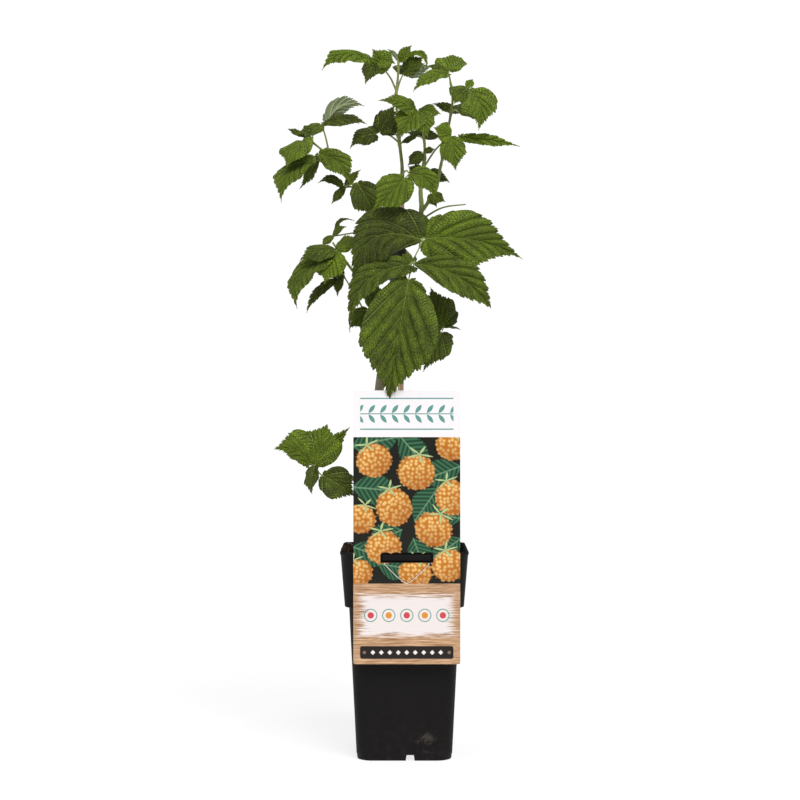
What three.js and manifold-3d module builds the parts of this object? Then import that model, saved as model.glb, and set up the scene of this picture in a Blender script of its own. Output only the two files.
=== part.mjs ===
// A young raspberry plant in a square nursery pot, with its bamboo stake and a picture card.
// Millimetres, +Z up. The pot's flat base is centred on the origin and its front faces -Y.
import * as THREE from "three";
import { mergeVertices } from "three/addons/utils/BufferGeometryUtils.js";
import Module from "manifold-3d";

const wasm = await Module();
wasm.setup();

const UP = new THREE.Vector3(0, 0, 1);
const GAP = 0.3; // clearance between neighbouring pieces

// The pot: a tapered square tub with a wider collar round its top.
const POT = {
  height: 200,
  baseWidth: 90.5,
  shoulderWidth: 105.8,
  collarWidth: 113.6,
  rimWidth: 122.5,
  collarHeight: 53,
  lip: 3,
  lipOverhang: 0.5,
  wall: 1.8,
  floor: 2.5,
  cornerRadius: 13,
  cornerSteps: 4,
};
// A drain notch in the foot of each side, a little off its middle.
const NOTCH = { bottomWidth: 9.2, topWidth: 6.8, height: 5.8, depth: 8, offset: 5.5 };
const LUG = { width: 46, height: 5, reach: 4.6, z: 193 };
const OVERCUT = 1; // how far a cut runs past the surface it starts from

// The compost stops below the rim and heaps up towards the back left corner.
const COMPOST = { top: 189, heap: 6, roughness: 1.4, rings: [0.7, 0.35] };

// The picture card hangs in front of the collar, held by the lug through its slot.
const CARD = { width: 100.8, bottom: 95, top: 353, centreX: 2.2, back: -61.6, thickness: 0.7, corner: 2 };
const SLOT = { width: 50, bottom: 190.5, top: 199, scallops: 5, scallopDepth: 3 };
const SLIT = { halfWidth: 21, top: 189.5, apex: 171.5, cut: 0.5, bow: 4 };
const CURVE_STEPS = 4;

const STAKE = { radius: 3, foot: [-4.6, 1, 25], head: [-2.8, 1, 541], sides: 10 };
const TIE = { bottom: 462, height: 30, slack: 1.1, thickness: 1, curveSteps: 5 };

// Leaves: lens-shaped blades on round stalks.
const BLADE = {
  thickness: 0.9,
  stations: [0, 0.14, 0.34, 0.6, 0.84, 1],
  tipHalfWidth: 0.35,
  fold: 0.12,
  basePower: 0.62,
  tipPower: 1.1,
};
const STALK = {
  radius: 1,
  taper: 0.85,
  sides: 5,
  steps: 4,
  rise: 0.1,
  terminalShare: 0.13,
  reachIntoBlade: 0.16,
};
const STEM_SIDES = 8;

const FRONT = [0, -1, 0.3];
const FRONT_UP = [0, -0.7, 0.7];
const SKY = [0, -0.3, 1];
const LEFT_FRONT = [-0.5, -0.7, 0.4];
const BACK_UP = [0, 0.8, 0.6];

const COLOURS = {
  pot: 0x221f20,
  compost: 0x33241b,
  card: 0xe9e2d6,
  stake: 0xa98d63,
  tie: 0x2b272b,
  cane: 0x77694f,
  shoot: 0x6f8040,
  leaf: 0x566b22,
};
const ROUGHNESS = { pot: 0.55, compost: 0.95, card: 0.45, stake: 0.6, tie: 0.5, stem: 0.7, leaf: 0.6 };

// Stems, as the points their centre lines run through. parent is the stem they grow from.
const STEMS = {
  cane: {
    points: [
      [-27, 10, 130], [-27, 10, 200], [-25, 10, 350], [-14, 10, 420], [-9.5, 10, 465],
      [-8.5, 10, 508],
    ],
    radius: [4.5, 4.2],
    colour: COLOURS.cane,
  },
  leader: {
    parent: "cane",
    points: [
      [-8.5, 10, 498], [-4, 15, 514], [-3, 13, 540], [-2, 10, 571], [-5, 8, 600], [-7, 8, 628],
      [-8, 8, 643], [-6, 8, 665], [-6, 8, 680],
    ],
    radius: [2.2, 0.95],
    colour: COLOURS.shoot,
  },
  shoot_middle: {
    parent: "cane",
    points: [
      [-8.5, 10, 494], [0, 9, 500], [9, 5, 510], [16.5, 0, 528], [16, -1, 550], [19, -2, 574],
      [20, -3, 589], [18, -5, 610],
    ],
    radius: [3.6, 0.95],
    colour: COLOURS.shoot,
  },
  shoot_right: {
    parent: "shoot_middle",
    points: [
      [16.5, 0, 528], [23, -1, 537], [31, -2, 550], [35, -2, 570], [38, -2, 584], [44, -2, 615],
      [47.5, -2, 642], [45, -3, 655],
    ],
    radius: [1.9, 1.0],
    colour: COLOURS.shoot,
  },
  shoot_upper_left: {
    parent: "leader",
    points: [
      [-4, 15, 514], [-18, 13, 528], [-38, 7, 546], [-55, 2, 560], [-68, 0, 577], [-81, -2, 589],
      [-94, -4, 599],
    ],
    radius: [1.8, 0.9],
    colour: COLOURS.shoot,
  },
  shoot_mid_left: {
    parent: "cane",
    points: [
      [-18.5, 10, 392], [-30, 6, 430], [-42, 2, 459], [-54, -2, 475], [-64, -5, 489],
      [-70, -6, 498],
    ],
    radius: [1.8, 0.9],
    colour: COLOURS.shoot,
  },
  shoot_low: {
    points: [
      [-24, -22, 150], [-26, -24, 200], [-32, -28, 235], [-42, -30, 260], [-52, -32, 272],
    ],
    radius: [2.3, 1.3],
    colour: COLOURS.shoot,
  },
};

// Leaves, one row each: the stem and the height on it where the stalk starts, a point it passes through
// where it goes round the stake, the hub or hubs that the leaflets spread from, and each leaflet's tip. The
// first leaflet is the terminal one. width is half the blade's breadth, or a pair for its two halves, arch
// how far the midrib bows outward and bend how far it bows sideways, all over the blade's length.
const LEAVES = [
  {
    name: "leaf_front_large",
    stem: "shoot_middle",
    height: 522,
    hubs: [[18, -28, 500], [7, -42, 475]],
    face: FRONT,
    leaflets: [
      { hub: 1, tip: [-16, -73, 343], width: 0.3, arch: 0.06 },
      { hub: 1, tip: [83, -60, 432], width: 0.2, arch: 0.06, bend: -0.1 },
      { hub: 1, tip: [-54, -62, 409], width: 0.15, arch: 0.08, bend: 0.2, face: [-0.2, -0.9, 0.3] },
      { hub: 0, tip: [117, -36, 482], width: 0.28, arch: 0.08, bend: -0.04 },
      { hub: 0, tip: [-50, -46, 452], width: [0.3, 0.34], arch: 0.12, bend: 0.3 },
    ],
  },
  {
    name: "leaf_front_right_low",
    stem: "cane",
    height: 415,
    via: [6, 11, 424],
    hubs: [[38, -28, 414]],
    face: FRONT,
    leaflets: [
      { tip: [18, -38, 371], width: 0.36 },
      { tip: [25, -20, 455], width: 0.4 },
      { tip: [54, -34, 413], width: 0.2, face: SKY },
    ],
  },
  {
    name: "leaf_front_left_low",
    stem: "cane",
    height: 404,
    hubs: [[-31, -12, 432]],
    face: FRONT,
    leaflets: [
      { tip: [-54, -26, 414], width: 0.38 },
      { tip: [-27, -14, 460], width: 0.34 },
      { tip: [-27, -28, 398], width: 0.36 },
    ],
  },
  {
    name: "leaf_mid_left_wide",
    stem: "shoot_mid_left",
    height: 484,
    hubs: [[-66, -14, 489]],
    face: LEFT_FRONT,
    leaflets: [
      { tip: [-106, -46, 434], width: 0.25, arch: 0.06, bend: 0.18 },
      { tip: [-44, -12, 504], width: 0.36, face: FRONT_UP },
      { tip: [-102, -30, 480], width: 0.3, arch: 0.1, face: FRONT_UP },
      { tip: [-77, -36, 457], width: 0.38, face: [-0.2, -1, 0.2] },
    ],
  },
  {
    name: "leaf_mid_left_low",
    stem: "cane",
    height: 380,
    hubs: [[-60, 6, 467]],
    face: LEFT_FRONT,
    leaflets: [
      { tip: [-99, 2, 430], width: 0.14, arch: 0.12 },
      { tip: [-67, 4, 446], width: 0.25 },
      { tip: [-92, 20, 478], width: 0.3, face: FRONT_UP },
    ],
  },
  {
    name: "leaf_mid_left_young",
    stem: "cane",
    height: 500,
    hubs: [[-70, 5, 505]],
    face: FRONT_UP,
    leaflets: [
      { tip: [-49, 8, 521], width: 0.08, bend: -0.35, face: FRONT },
      { tip: [-57, 0, 515], width: 0.3, arch: 0.1 },
      { tip: [-81, 0, 495], width: 0.3 },
    ],
  },
  {
    name: "leaf_upper_left_wide",
    stem: "shoot_upper_left",
    height: 585,
    hubs: [[-83, -9, 584]],
    face: LEFT_FRONT,
    leaflets: [
      { tip: [-120, -42, 536], width: 0.27, arch: 0.08, bend: 0.12 },
      { tip: [-52, -26, 555], width: 0.28, bend: -0.12, face: FRONT },
      { tip: [-101, -10, 548], width: 0.14, face: [0.6, -0.7, 0.2] },
    ],
  },
  {
    name: "leaf_upper_left_pale",
    stem: "shoot_upper_left",
    height: 582,
    hubs: [[-81, 1, 614]],
    face: FRONT_UP,
    leaflets: [
      { tip: [-40, 10, 635], width: 0.22, bend: 0.2, face: BACK_UP },
      { tip: [-37, -14, 615], width: 0.19, bend: -0.08 },
      { tip: [-107, -12, 605], width: 0.32, bend: -0.16 },
    ],
  },
  {
    name: "leaf_upper_left_tip",
    stem: "shoot_upper_left",
    height: 597,
    hubs: [[-97, -6, 601]],
    face: LEFT_FRONT,
    leaflets: [
      { tip: [-117, -30, 567], width: 0.46, arch: 0.1, bend: -0.12 },
      { tip: [-115, -2, 610], width: 0.15, face: FRONT },
      { tip: [-90, -15, 599], width: 0.42, face: [0.5, 1, 0] },
    ],
  },
  {
    name: "leaf_upper_left_twig",
    stem: "shoot_upper_left",
    height: 549,
    hubs: [[-58, -6, 552], [-46, -8, 556]],
    face: FRONT,
    leaflets: [
      { tip: [-84, -10, 556], width: 0.2, bend: 0.22 },
      { tip: [-71, -10, 535], width: 0.2 },
      { tip: [-43, -6, 570], width: 0.18 },
      { hub: 1, tip: [-27, -12, 523], width: 0.4 },
    ],
  },
  {
    name: "leaf_centre",
    stem: "leader",
    height: 566,
    hubs: [[5, -22, 563]],
    face: FRONT,
    leaflets: [
      { tip: [-32, -46, 525], width: 0.33, arch: 0.1, bend: -0.06 },
      { tip: [28, -38, 538], width: 0.3, arch: 0.08, bend: -0.18 },
    ],
  },
  {
    name: "leaf_centre_behind",
    stem: "shoot_middle",
    height: 560,
    hubs: [[16, 12, 565]],
    face: FRONT_UP,
    leaflets: [
      { tip: [46, 10, 560], width: 0.4, arch: 0.1 },
      { tip: [4, 8, 574], width: 0.5, face: FRONT },
      { tip: [20, 50, 576], width: 0.3, arch: 0.1, face: SKY },
    ],
  },
  {
    name: "leaf_right_small",
    stem: "shoot_right",
    height: 540,
    hubs: [[24, -9, 544]],
    face: FRONT,
    leaflets: [
      { tip: [40, -14, 537], width: 0.38 },
      { tip: [32, -12, 532], width: 0.34 },
    ],
  },
  {
    name: "leaf_right_long",
    stem: "shoot_middle",
    height: 571,
    hubs: [[45, -14, 600]],
    face: FRONT,
    leaflets: [
      { tip: [114, -14, 592], width: 0.095, arch: 0.03 },
      { tip: [49, -36, 565], width: 0.31, arch: 0.06 },
      { tip: [29, -26, 607], width: 0.48 },
    ],
  },
  {
    name: "leaf_top_right_wide",
    stem: "shoot_right",
    height: 640,
    hubs: [[61, -10, 648]],
    face: FRONT,
    leaflets: [
      { tip: [70, -38, 604], width: 0.37, arch: 0.08, bend: -0.16 },
      { tip: [48, -26, 631], width: 0.5 },
      { tip: [67, -6, 658], width: 0.36 },
    ],
  },
  {
    name: "leaf_top_right_upper",
    stem: "shoot_right",
    height: 652,
    hubs: [[43, -6, 663]],
    face: FRONT_UP,
    leaflets: [
      { tip: [48, 12, 687], width: 0.56, arch: 0.06 },
      { tip: [23, -2, 673], width: 0.34 },
      { tip: [7, -32, 644], width: 0.21, arch: 0.06 },
    ],
  },
  {
    name: "leaf_top_centre",
    stem: "shoot_middle",
    height: 607,
    hubs: [[14, -12, 625]],
    face: [0, -0.85, 0.5],
    leaflets: [
      { tip: [-24, -34, 634], width: 0.28, arch: 0.06 },
      { tip: [-6, -40, 597], width: 0.32, face: FRONT },
      { tip: [36, -14, 623], width: 0.42 },
      { tip: [22, -32, 598], width: 0.35, face: FRONT },
    ],
  },
  {
    name: "leaf_upper_dark",
    stem: "leader",
    height: 597,
    hubs: [[-24, 4, 607]],
    face: FRONT,
    leaflets: [
      { tip: [-54, -2, 591], width: 0.32, arch: 0.04, bend: 0.12 },
      { tip: [-9, -2, 634], width: 0.34 },
      { tip: [-2, 2, 621], width: 0.4 },
      { tip: [-22, 40, 620], width: 0.3, face: SKY },
    ],
  },
  {
    name: "leaf_centre_dark",
    stem: "shoot_middle",
    height: 598,
    hubs: [[13, 10, 604]],
    face: FRONT_UP,
    leaflets: [
      { tip: [-5, 16, 598], width: 0.3 },
      { tip: [38, 18, 606], width: 0.3 },
      { tip: [16, 44, 616], width: 0.32, face: SKY },
    ],
  },
  {
    name: "leaf_centre_low_dark",
    stem: "shoot_middle",
    height: 580,
    hubs: [[19, -10, 586]],
    face: FRONT,
    leaflets: [
      { tip: [3, -12, 572], width: 0.34 },
      { tip: [30, -12, 588], width: 0.3 },
    ],
  },
  {
    name: "leaf_top_left",
    stem: "leader",
    height: 648,
    hubs: [[-18, 2, 666], [-28, -4, 677]],
    face: FRONT,
    leaflets: [
      { hub: 1, tip: [-79, -28, 665], width: 0.22, arch: 0.06, bend: 0.22, face: FRONT_UP },
      { hub: 1, tip: [-38, -20, 651], width: 0.26 },
      { hub: 1, tip: [-9, -14, 672], width: 0.45 },
      { hub: 0, tip: [-30, -14, 685], width: 0.5 },
    ],
  },
  {
    name: "leaf_top_behind",
    stem: "leader",
    height: 645,
    hubs: [[-1, 14, 666]],
    face: BACK_UP,
    leaflets: [
      { tip: [27, 20, 675], width: 0.3, arch: 0.04 },
      { tip: [19, 8, 683], width: 0.36, face: FRONT },
      { tip: [4, 52, 684], width: 0.3, face: SKY },
    ],
  },
  {
    name: "leaf_shoot_tip",
    stem: "leader",
    height: 670,
    hubs: [[-5, 9, 678]],
    face: FRONT,
    leaflets: [
      { tip: [-17, 11, 691], width: 0.16, arch: 0.2, face: BACK_UP },
      { tip: [5, 0, 687], width: 0.36 },
      { tip: [7, 4, 693], width: 0.3 },
      { tip: [22, -2, 665], width: 0.1, bend: -0.5 },
    ],
  },
  {
    name: "leaf_ground_left",
    stem: "shoot_low",
    height: 266,
    hubs: [[-79, -36, 272], [-86, -34, 281]],
    face: FRONT,
    leaflets: [
      { hub: 1, tip: [-125, -46, 297], width: [0.25, 0.55], arch: 0.14, bend: 0.16 },
      { hub: 1, tip: [-74, -32, 323], width: 0.5, arch: 0.1 },
      { hub: 1, tip: [-51, -24, 320], width: 0.13, arch: 0.1 },
      { hub: 0, tip: [-46, -46, 253], width: 0.42, arch: 0.08 },
      { hub: 1, tip: [-90, -46, 255], width: 0.3, face: LEFT_FRONT },
    ],
  },
  {
    name: "leaf_back_top",
    stem: "leader",
    height: 616,
    hubs: [[0, 38, 628]],
    face: SKY,
    leaflets: [
      { tip: [-6, 86, 612], width: 0.36, arch: 0.12 },
      { tip: [-26, 56, 632], width: 0.36, arch: 0.08 },
      { tip: [30, 60, 628], width: 0.34, arch: 0.08 },
    ],
  },
  {
    name: "leaf_back_right",
    stem: "shoot_right",
    height: 625,
    hubs: [[54, 24, 630]],
    face: SKY,
    leaflets: [
      { tip: [76, 68, 640], width: 0.36, arch: 0.12 },
      { tip: [80, 22, 622], width: 0.22, arch: 0.04, face: FRONT_UP },
      { tip: [46, 60, 642], width: 0.34, arch: 0.08 },
      { tip: [28, 16, 638], width: 0.18, face: FRONT },
    ],
  },
  {
    name: "leaf_back_left",
    stem: "leader",
    height: 524,
    hubs: [[-18, 40, 528]],
    face: SKY,
    leaflets: [
      { tip: [-30, 92, 508], width: 0.36, arch: 0.12 },
      { tip: [-48, 60, 522], width: 0.36, arch: 0.08 },
      { tip: [12, 72, 526], width: 0.34, arch: 0.08 },
    ],
  },
  {
    name: "leaf_back_middle",
    stem: "cane",
    height: 446,
    hubs: [[-22, 48, 500]],
    face: SKY,
    leaflets: [
      { tip: [-26, 100, 488], width: 0.36, arch: 0.12 },
      { tip: [-50, 62, 494], width: 0.4, arch: 0.08 },
      { tip: [10, 72, 492], width: 0.38, arch: 0.08 },
    ],
  },
  {
    name: "leaf_back_low",
    stem: "cane",
    height: 400,
    hubs: [[-10, 48, 424]],
    face: SKY,
    leaflets: [
      { tip: [-14, 108, 392], width: 0.38, arch: 0.12 },
      { tip: [-42, 74, 416], width: 0.36, arch: 0.08 },
      { tip: [28, 76, 414], width: 0.36, arch: 0.08 },
    ],
  },
];

// A leaf stalk whose blade has dropped off.
const BARE_STALK = { stem: "shoot_middle", height: 519, tip: [60, -6, 535] };

function vector(point) {
  return new THREE.Vector3(...point);
}

// A closed skin over rings of equally many points, with a fan of triangles on each end.
function loft(rings) {
  const sides = rings[0].length;
  const points = rings.flat();
  const indices = [];
  for (let row = 0; row + 1 < rings.length; row += 1) {
    for (let side = 0; side < sides; side += 1) {
      const a = row * sides + side;
      const b = row * sides + (side + 1) % sides;
      indices.push(a, b, b + sides, a, b + sides, a + sides);
    }
  }
  for (const [ring, offset, flip] of [[rings[0], 0, true], [rings.at(-1), points.length - sides, false]]) {
    const centre = ring.reduce((sum, point) => sum.clone().add(point)).divideScalar(sides);
    const hub = points.push(centre) - 1;
    for (let side = 0; side < sides; side += 1) {
      const a = offset + side;
      const b = offset + (side + 1) % sides;
      indices.push(...(flip ? [b, a, hub] : [a, b, hub]));
    }
  }
  const geometry = new THREE.BufferGeometry().setFromPoints(points);
  geometry.setIndex(indices);
  return geometry;
}

function toSolid(geometry) {
  const bare = geometry.clone();
  bare.deleteAttribute("normal");
  bare.deleteAttribute("uv");
  const merged = mergeVertices(bare, 1e-4);
  return new wasm.Manifold(new wasm.Mesh({
    numProp: 3,
    vertProperties: Float32Array.from(merged.attributes.position.array),
    triVerts: Uint32Array.from(merged.index.array),
  }));
}

function toMesh(solid, name, colour, roughness) {
  const data = solid.getMesh();
  const geometry = new THREE.BufferGeometry();
  geometry.setAttribute("position", new THREE.BufferAttribute(data.vertProperties, 3));
  geometry.setIndex(new THREE.BufferAttribute(data.triVerts, 1));
  geometry.computeVertexNormals();
  const material = new THREE.MeshStandardMaterial({ color: colour, roughness, metalness: 0 });
  const mesh = new THREE.Mesh(geometry, material);
  mesh.name = name;
  return mesh;
}

function roundedSquare(width, z) {
  const ring = [];
  const radius = POT.cornerRadius;
  const inset = width / 2 - radius;
  for (let corner = 0; corner < 4; corner += 1) {
    const start = corner * Math.PI / 2;
    const centreX = inset * Math.sign(Math.cos(start + Math.PI / 4));
    const centreY = inset * Math.sign(Math.sin(start + Math.PI / 4));
    for (let step = 0; step <= POT.cornerSteps; step += 1) {
      const angle = start + (step / POT.cornerSteps) * Math.PI / 2;
      const x = centreX + radius * Math.cos(angle);
      const y = centreY + radius * Math.sin(angle);
      ring.push(new THREE.Vector3(x, y, z));
    }
  }
  return ring;
}

// Width of the pot's inside at a height, following the outside one wall in.
function innerWidth(z) {
  const collarBottom = POT.height - POT.collarHeight;
  const body = THREE.MathUtils.mapLinear(z, 0, collarBottom, POT.baseWidth, POT.shoulderWidth);
  const collar = THREE.MathUtils.mapLinear(z, collarBottom, POT.height, POT.collarWidth, POT.rimWidth);
  return (z < collarBottom + POT.wall ? body : collar) - 2 * POT.wall;
}

function buildPot() {
  const collarBottom = POT.height - POT.collarHeight;
  const step = collarBottom + POT.wall;
  const lipWidth = POT.rimWidth - 2 * POT.lipOverhang;
  let pot = toSolid(loft([
    roundedSquare(POT.baseWidth, 0),
    roundedSquare(POT.shoulderWidth, collarBottom),
    roundedSquare(POT.collarWidth, collarBottom),
    roundedSquare(lipWidth, POT.height - POT.lip),
    roundedSquare(POT.rimWidth, POT.height - POT.lip),
    roundedSquare(POT.rimWidth, POT.height),
    roundedSquare(innerWidth(POT.height), POT.height),
    roundedSquare(innerWidth(step), step),
    roundedSquare(POT.shoulderWidth - 2 * POT.wall, step),
    roundedSquare(innerWidth(POT.floor), POT.floor),
  ]));
  const notchShape = new THREE.Shape([
    new THREE.Vector2(NOTCH.offset - NOTCH.bottomWidth / 2, -OVERCUT),
    new THREE.Vector2(NOTCH.offset + NOTCH.bottomWidth / 2, -OVERCUT),
    new THREE.Vector2(NOTCH.offset + NOTCH.topWidth / 2, NOTCH.height),
    new THREE.Vector2(NOTCH.offset - NOTCH.topWidth / 2, NOTCH.height),
  ]);
  for (let side = 0; side < 4; side += 1) {
    const notch = new THREE.ExtrudeGeometry(notchShape, { depth: NOTCH.depth, bevelEnabled: false });
    notch.rotateX(Math.PI / 2);
    notch.translate(0, NOTCH.depth - POT.baseWidth / 2 - 2 * OVERCUT, 0);
    notch.rotateZ(side * Math.PI / 2);
    pot = pot.subtract(toSolid(notch));
  }
  const lug = new THREE.BoxGeometry(LUG.width, LUG.reach + POT.wall, LUG.height);
  const lugY = (POT.wall - LUG.reach - innerWidth(LUG.z)) / 2 - POT.wall;
  lug.translate(CARD.centreX, lugY, LUG.z + LUG.height / 2);
  return toMesh(pot.add(toSolid(lug)), "pot", COLOURS.pot, ROUGHNESS.pot);
}

function compostHeight(x, y) {
  const reach = innerWidth(COMPOST.top) / 2;
  const towardsCorner = Math.max(0, (y - x) / (2 * reach));
  const lumps = Math.sin(0.31 * x + 1) * Math.cos(0.27 * y - 0.5);
  return COMPOST.top + COMPOST.heap * towardsCorner ** 3 + COMPOST.roughness * lumps;
}

function buildCompost(growing) {
  const collarBottom = POT.height - POT.collarHeight;
  const step = collarBottom + POT.wall;
  const topRing = roundedSquare(innerWidth(COMPOST.top) - 2 * GAP, 0);
  const raise = (point, share) => {
    const [x, y] = [point.x * share, point.y * share];
    return new THREE.Vector3(x, y, compostHeight(x, y));
  };
  let compost = toSolid(loft([
    roundedSquare(innerWidth(POT.floor) - 2 * GAP, POT.floor + GAP),
    roundedSquare(POT.shoulderWidth - 2 * POT.wall - 2 * GAP, step + GAP),
    roundedSquare(innerWidth(step) - 2 * GAP, step + GAP),
    topRing.map((point) => raise(point, 1)),
    ...COMPOST.rings.map((share) => topRing.map((point) => raise(point, share))),
  ]));
  for (const solid of growing) {
    compost = compost.subtract(solid);
  }
  return toMesh(compost, "compost", COLOURS.compost, ROUGHNESS.compost);
}

function buildCard() {
  const { width, bottom, top, corner } = CARD;
  const half = width / 2;
  const outline = new THREE.Shape();
  outline.moveTo(-half, top);
  outline.lineTo(-half, bottom + corner);
  outline.quadraticCurveTo(-half, bottom, -half + corner, bottom);
  outline.lineTo(half - corner, bottom);
  outline.quadraticCurveTo(half, bottom, half, bottom + corner);
  outline.lineTo(half, top);
  outline.closePath();
  const slot = new THREE.Path();
  slot.moveTo(-SLOT.width / 2, SLOT.bottom);
  slot.lineTo(SLOT.width / 2, SLOT.bottom);
  slot.lineTo(SLOT.width / 2, SLOT.top);
  const scallop = SLOT.width / SLOT.scallops;
  for (let index = 0; index < SLOT.scallops; index += 1) {
    const x = SLOT.width / 2 - index * scallop;
    slot.quadraticCurveTo(x - scallop / 2, SLOT.top + SLOT.scallopDepth, x - scallop, SLOT.top);
  }
  slot.closePath();
  const slit = new THREE.Path();
  const { halfWidth, cut, bow, apex } = SLIT;
  slit.moveTo(-halfWidth, SLIT.top);
  slit.quadraticCurveTo(-bow, apex, 0, apex);
  slit.quadraticCurveTo(bow, apex, halfWidth, SLIT.top);
  slit.lineTo(halfWidth - cut, SLIT.top);
  slit.quadraticCurveTo(bow - cut, apex + cut, 0, apex + cut);
  slit.quadraticCurveTo(cut - bow, apex + cut, cut - halfWidth, SLIT.top);
  slit.closePath();
  outline.holes.push(slot, slit);
  const extrusion = { depth: CARD.thickness, bevelEnabled: false, curveSegments: CURVE_STEPS };
  const sheet = new THREE.ExtrudeGeometry(outline, extrusion);
  sheet.rotateX(Math.PI / 2);
  sheet.translate(CARD.centreX, CARD.back, 0);
  return toMesh(toSolid(sheet), "picture_card", COLOURS.card, ROUGHNESS.card);
}

// A round rod along a curve, from the first radius to the last.
function rod(curve, radiusStart, radiusEnd, steps, sides) {
  const frames = curve.computeFrenetFrames(steps, false);
  const rings = [];
  for (let step = 0; step <= steps; step += 1) {
    const share = step / steps;
    const centre = curve.getPointAt(share);
    const radius = THREE.MathUtils.lerp(radiusStart, radiusEnd, share);
    const ring = [];
    for (let side = 0; side < sides; side += 1) {
      const angle = (side / sides) * 2 * Math.PI;
      ring.push(centre.clone()
        .addScaledVector(frames.normals[step], radius * Math.cos(angle))
        .addScaledVector(frames.binormals[step], radius * Math.sin(angle)));
    }
    rings.push(ring);
  }
  return loft(rings);
}

function stemCurve(stem) {
  return new THREE.CatmullRomCurve3(stem.points.map(vector));
}

function stemSolid(stem, extra = 0) {
  const steps = 2 * (stem.points.length - 1);
  return toSolid(rod(stemCurve(stem), stem.radius[0] + extra, stem.radius[1] + extra, steps, STEM_SIDES));
}

// The point of a stem's centre line at a height: stems rise all the way along.
function pointAtHeight(stem, height) {
  const curve = stemCurve(stem);
  let [low, high] = [0, 1];
  while (high - low > 1e-4) {
    const middle = (low + high) / 2;
    if (curve.getPoint(middle).z < height) {
      low = middle;
    } else {
      high = middle;
    }
  }
  return curve.getPoint(low);
}

// Half breadth of a blade along its midrib, as a share of the widest: ovate, drawn out to the tip.
function bladeOutline(share) {
  const { basePower, tipPower } = BLADE;
  const widest = basePower / (basePower + tipPower);
  const peak = widest ** basePower * (1 - widest) ** tipPower;
  return share ** basePower * (1 - share) ** tipPower / peak;
}

// A blade is a lens-shaped skin over a midrib that bows out of its plane by arch and sideways by bend.
function buildBlade(base, tip, face, { width, arch = 0.04, bend = 0 }) {
  const [nearWidth, farWidth = nearWidth] = [width].flat();
  const along = tip.clone().sub(base);
  const length = along.length();
  along.normalize();
  const outward = face.clone().addScaledVector(along, -face.dot(along)).normalize();
  const sideways = along.clone().cross(outward);
  const bow = outward.clone().multiplyScalar(arch).addScaledVector(sideways, bend);
  const midrib = (share) => base.clone()
    .addScaledVector(along, length * share)
    .addScaledVector(bow, length * 4 * share * (1 - share));
  const rings = BLADE.stations.map((share) => {
    const breadth = length * bladeOutline(share);
    const turn = 4 * (1 - 2 * share);
    const tangent = along.clone().addScaledVector(bow, turn).normalize();
    const across = sideways.clone().addScaledVector(along, -bend * turn).normalize();
    const normal = across.clone().cross(tangent).normalize();
    const centre = midrib(share);
    const edge = (sign, halfWidth) => {
      const half = Math.max(BLADE.tipHalfWidth, halfWidth * breadth);
      return centre.clone()
        .addScaledVector(across, sign * half)
        .addScaledVector(normal, half * BLADE.fold);
    };
    return [
      edge(-1, nearWidth),
      centre.clone().addScaledVector(normal, BLADE.thickness / 2),
      edge(1, farWidth),
      centre.clone().addScaledVector(normal, -BLADE.thickness / 2),
    ];
  });
  return { solid: toSolid(loft(rings)), midrib };
}

function stalkSolid(points, steps) {
  const curve = new THREE.CatmullRomCurve3(points);
  return toSolid(rod(curve, STALK.radius, STALK.radius * STALK.taper, steps, STALK.sides));
}

// The leaf's stalk rises a little out of the stem before it reaches over to the hub.
function petiolePath(start, hub, via) {
  const middle = via
    ? vector(via)
    : start.clone().lerp(hub, 0.5).addScaledVector(UP, STALK.rise * start.distanceTo(hub));
  const end = hub.clone().addScaledVector(hub.clone().sub(middle).normalize(), STALK.radius);
  return [start, middle, end];
}

function buildLeaf(leaf, stemClearances) {
  const hubs = leaf.hubs.map(vector);
  const start = pointAtHeight(STEMS[leaf.stem], leaf.height);
  let solid = stalkSolid(petiolePath(start, hubs[0], leaf.via), STALK.steps);
  for (let index = 1; index < hubs.length; index += 1) {
    solid = solid.add(stalkSolid([hubs[index - 1], hubs[index]], 1));
  }
  leaf.leaflets.forEach((leaflet, index) => {
    const hub = hubs[leaflet.hub ?? 0];
    const tip = vector(leaflet.tip);
    const base = hub.clone().lerp(tip, index === 0 ? STALK.terminalShare : 0);
    const blade = buildBlade(base, tip, vector(leaflet.face ?? leaf.face), leaflet);
    solid = solid.add(blade.solid);
    if (index === 0) {
      solid = solid.add(stalkSolid([hub, base, blade.midrib(STALK.reachIntoBlade)], 2));
    }
  });
  for (const clearance of stemClearances) {
    solid = solid.subtract(clearance);
  }
  return toMesh(solid, leaf.name, COLOURS.leaf, ROUGHNESS.leaf);
}

// A band looped round the stake and the cane.
function buildTie() {
  const cane = pointAtHeight(STEMS.cane, TIE.bottom + TIE.height / 2);
  const stakeShare = (TIE.bottom - STAKE.foot[2]) / (STAKE.head[2] - STAKE.foot[2]);
  const stake = vector(STAKE.foot).lerp(vector(STAKE.head), stakeShare);
  const along = Math.atan2(cane.y - stake.y, cane.x - stake.x);
  const stakeRadius = STAKE.radius + TIE.slack;
  const caneRadius = STEMS.cane.radius[1] + TIE.slack;
  const spread = Math.acos((stakeRadius - caneRadius) / Math.hypot(cane.x - stake.x, cane.y - stake.y));
  const loop = (path, extra) => {
    const stakeEnd = along - spread + 2 * Math.PI;
    path.absarc(stake.x, stake.y, stakeRadius + extra, along + spread, stakeEnd, false);
    path.absarc(cane.x, cane.y, caneRadius + extra, along - spread, along + spread, false);
    path.closePath();
    return path;
  };
  const outline = loop(new THREE.Shape(), TIE.thickness);
  outline.holes.push(loop(new THREE.Path(), 0));
  const extrusion = { depth: TIE.height, bevelEnabled: false, curveSegments: TIE.curveSteps };
  const band = new THREE.ExtrudeGeometry(outline, extrusion);
  band.translate(0, 0, TIE.bottom);
  return toMesh(toSolid(band), "stake_tie", COLOURS.tie, ROUGHNESS.tie);
}

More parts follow.
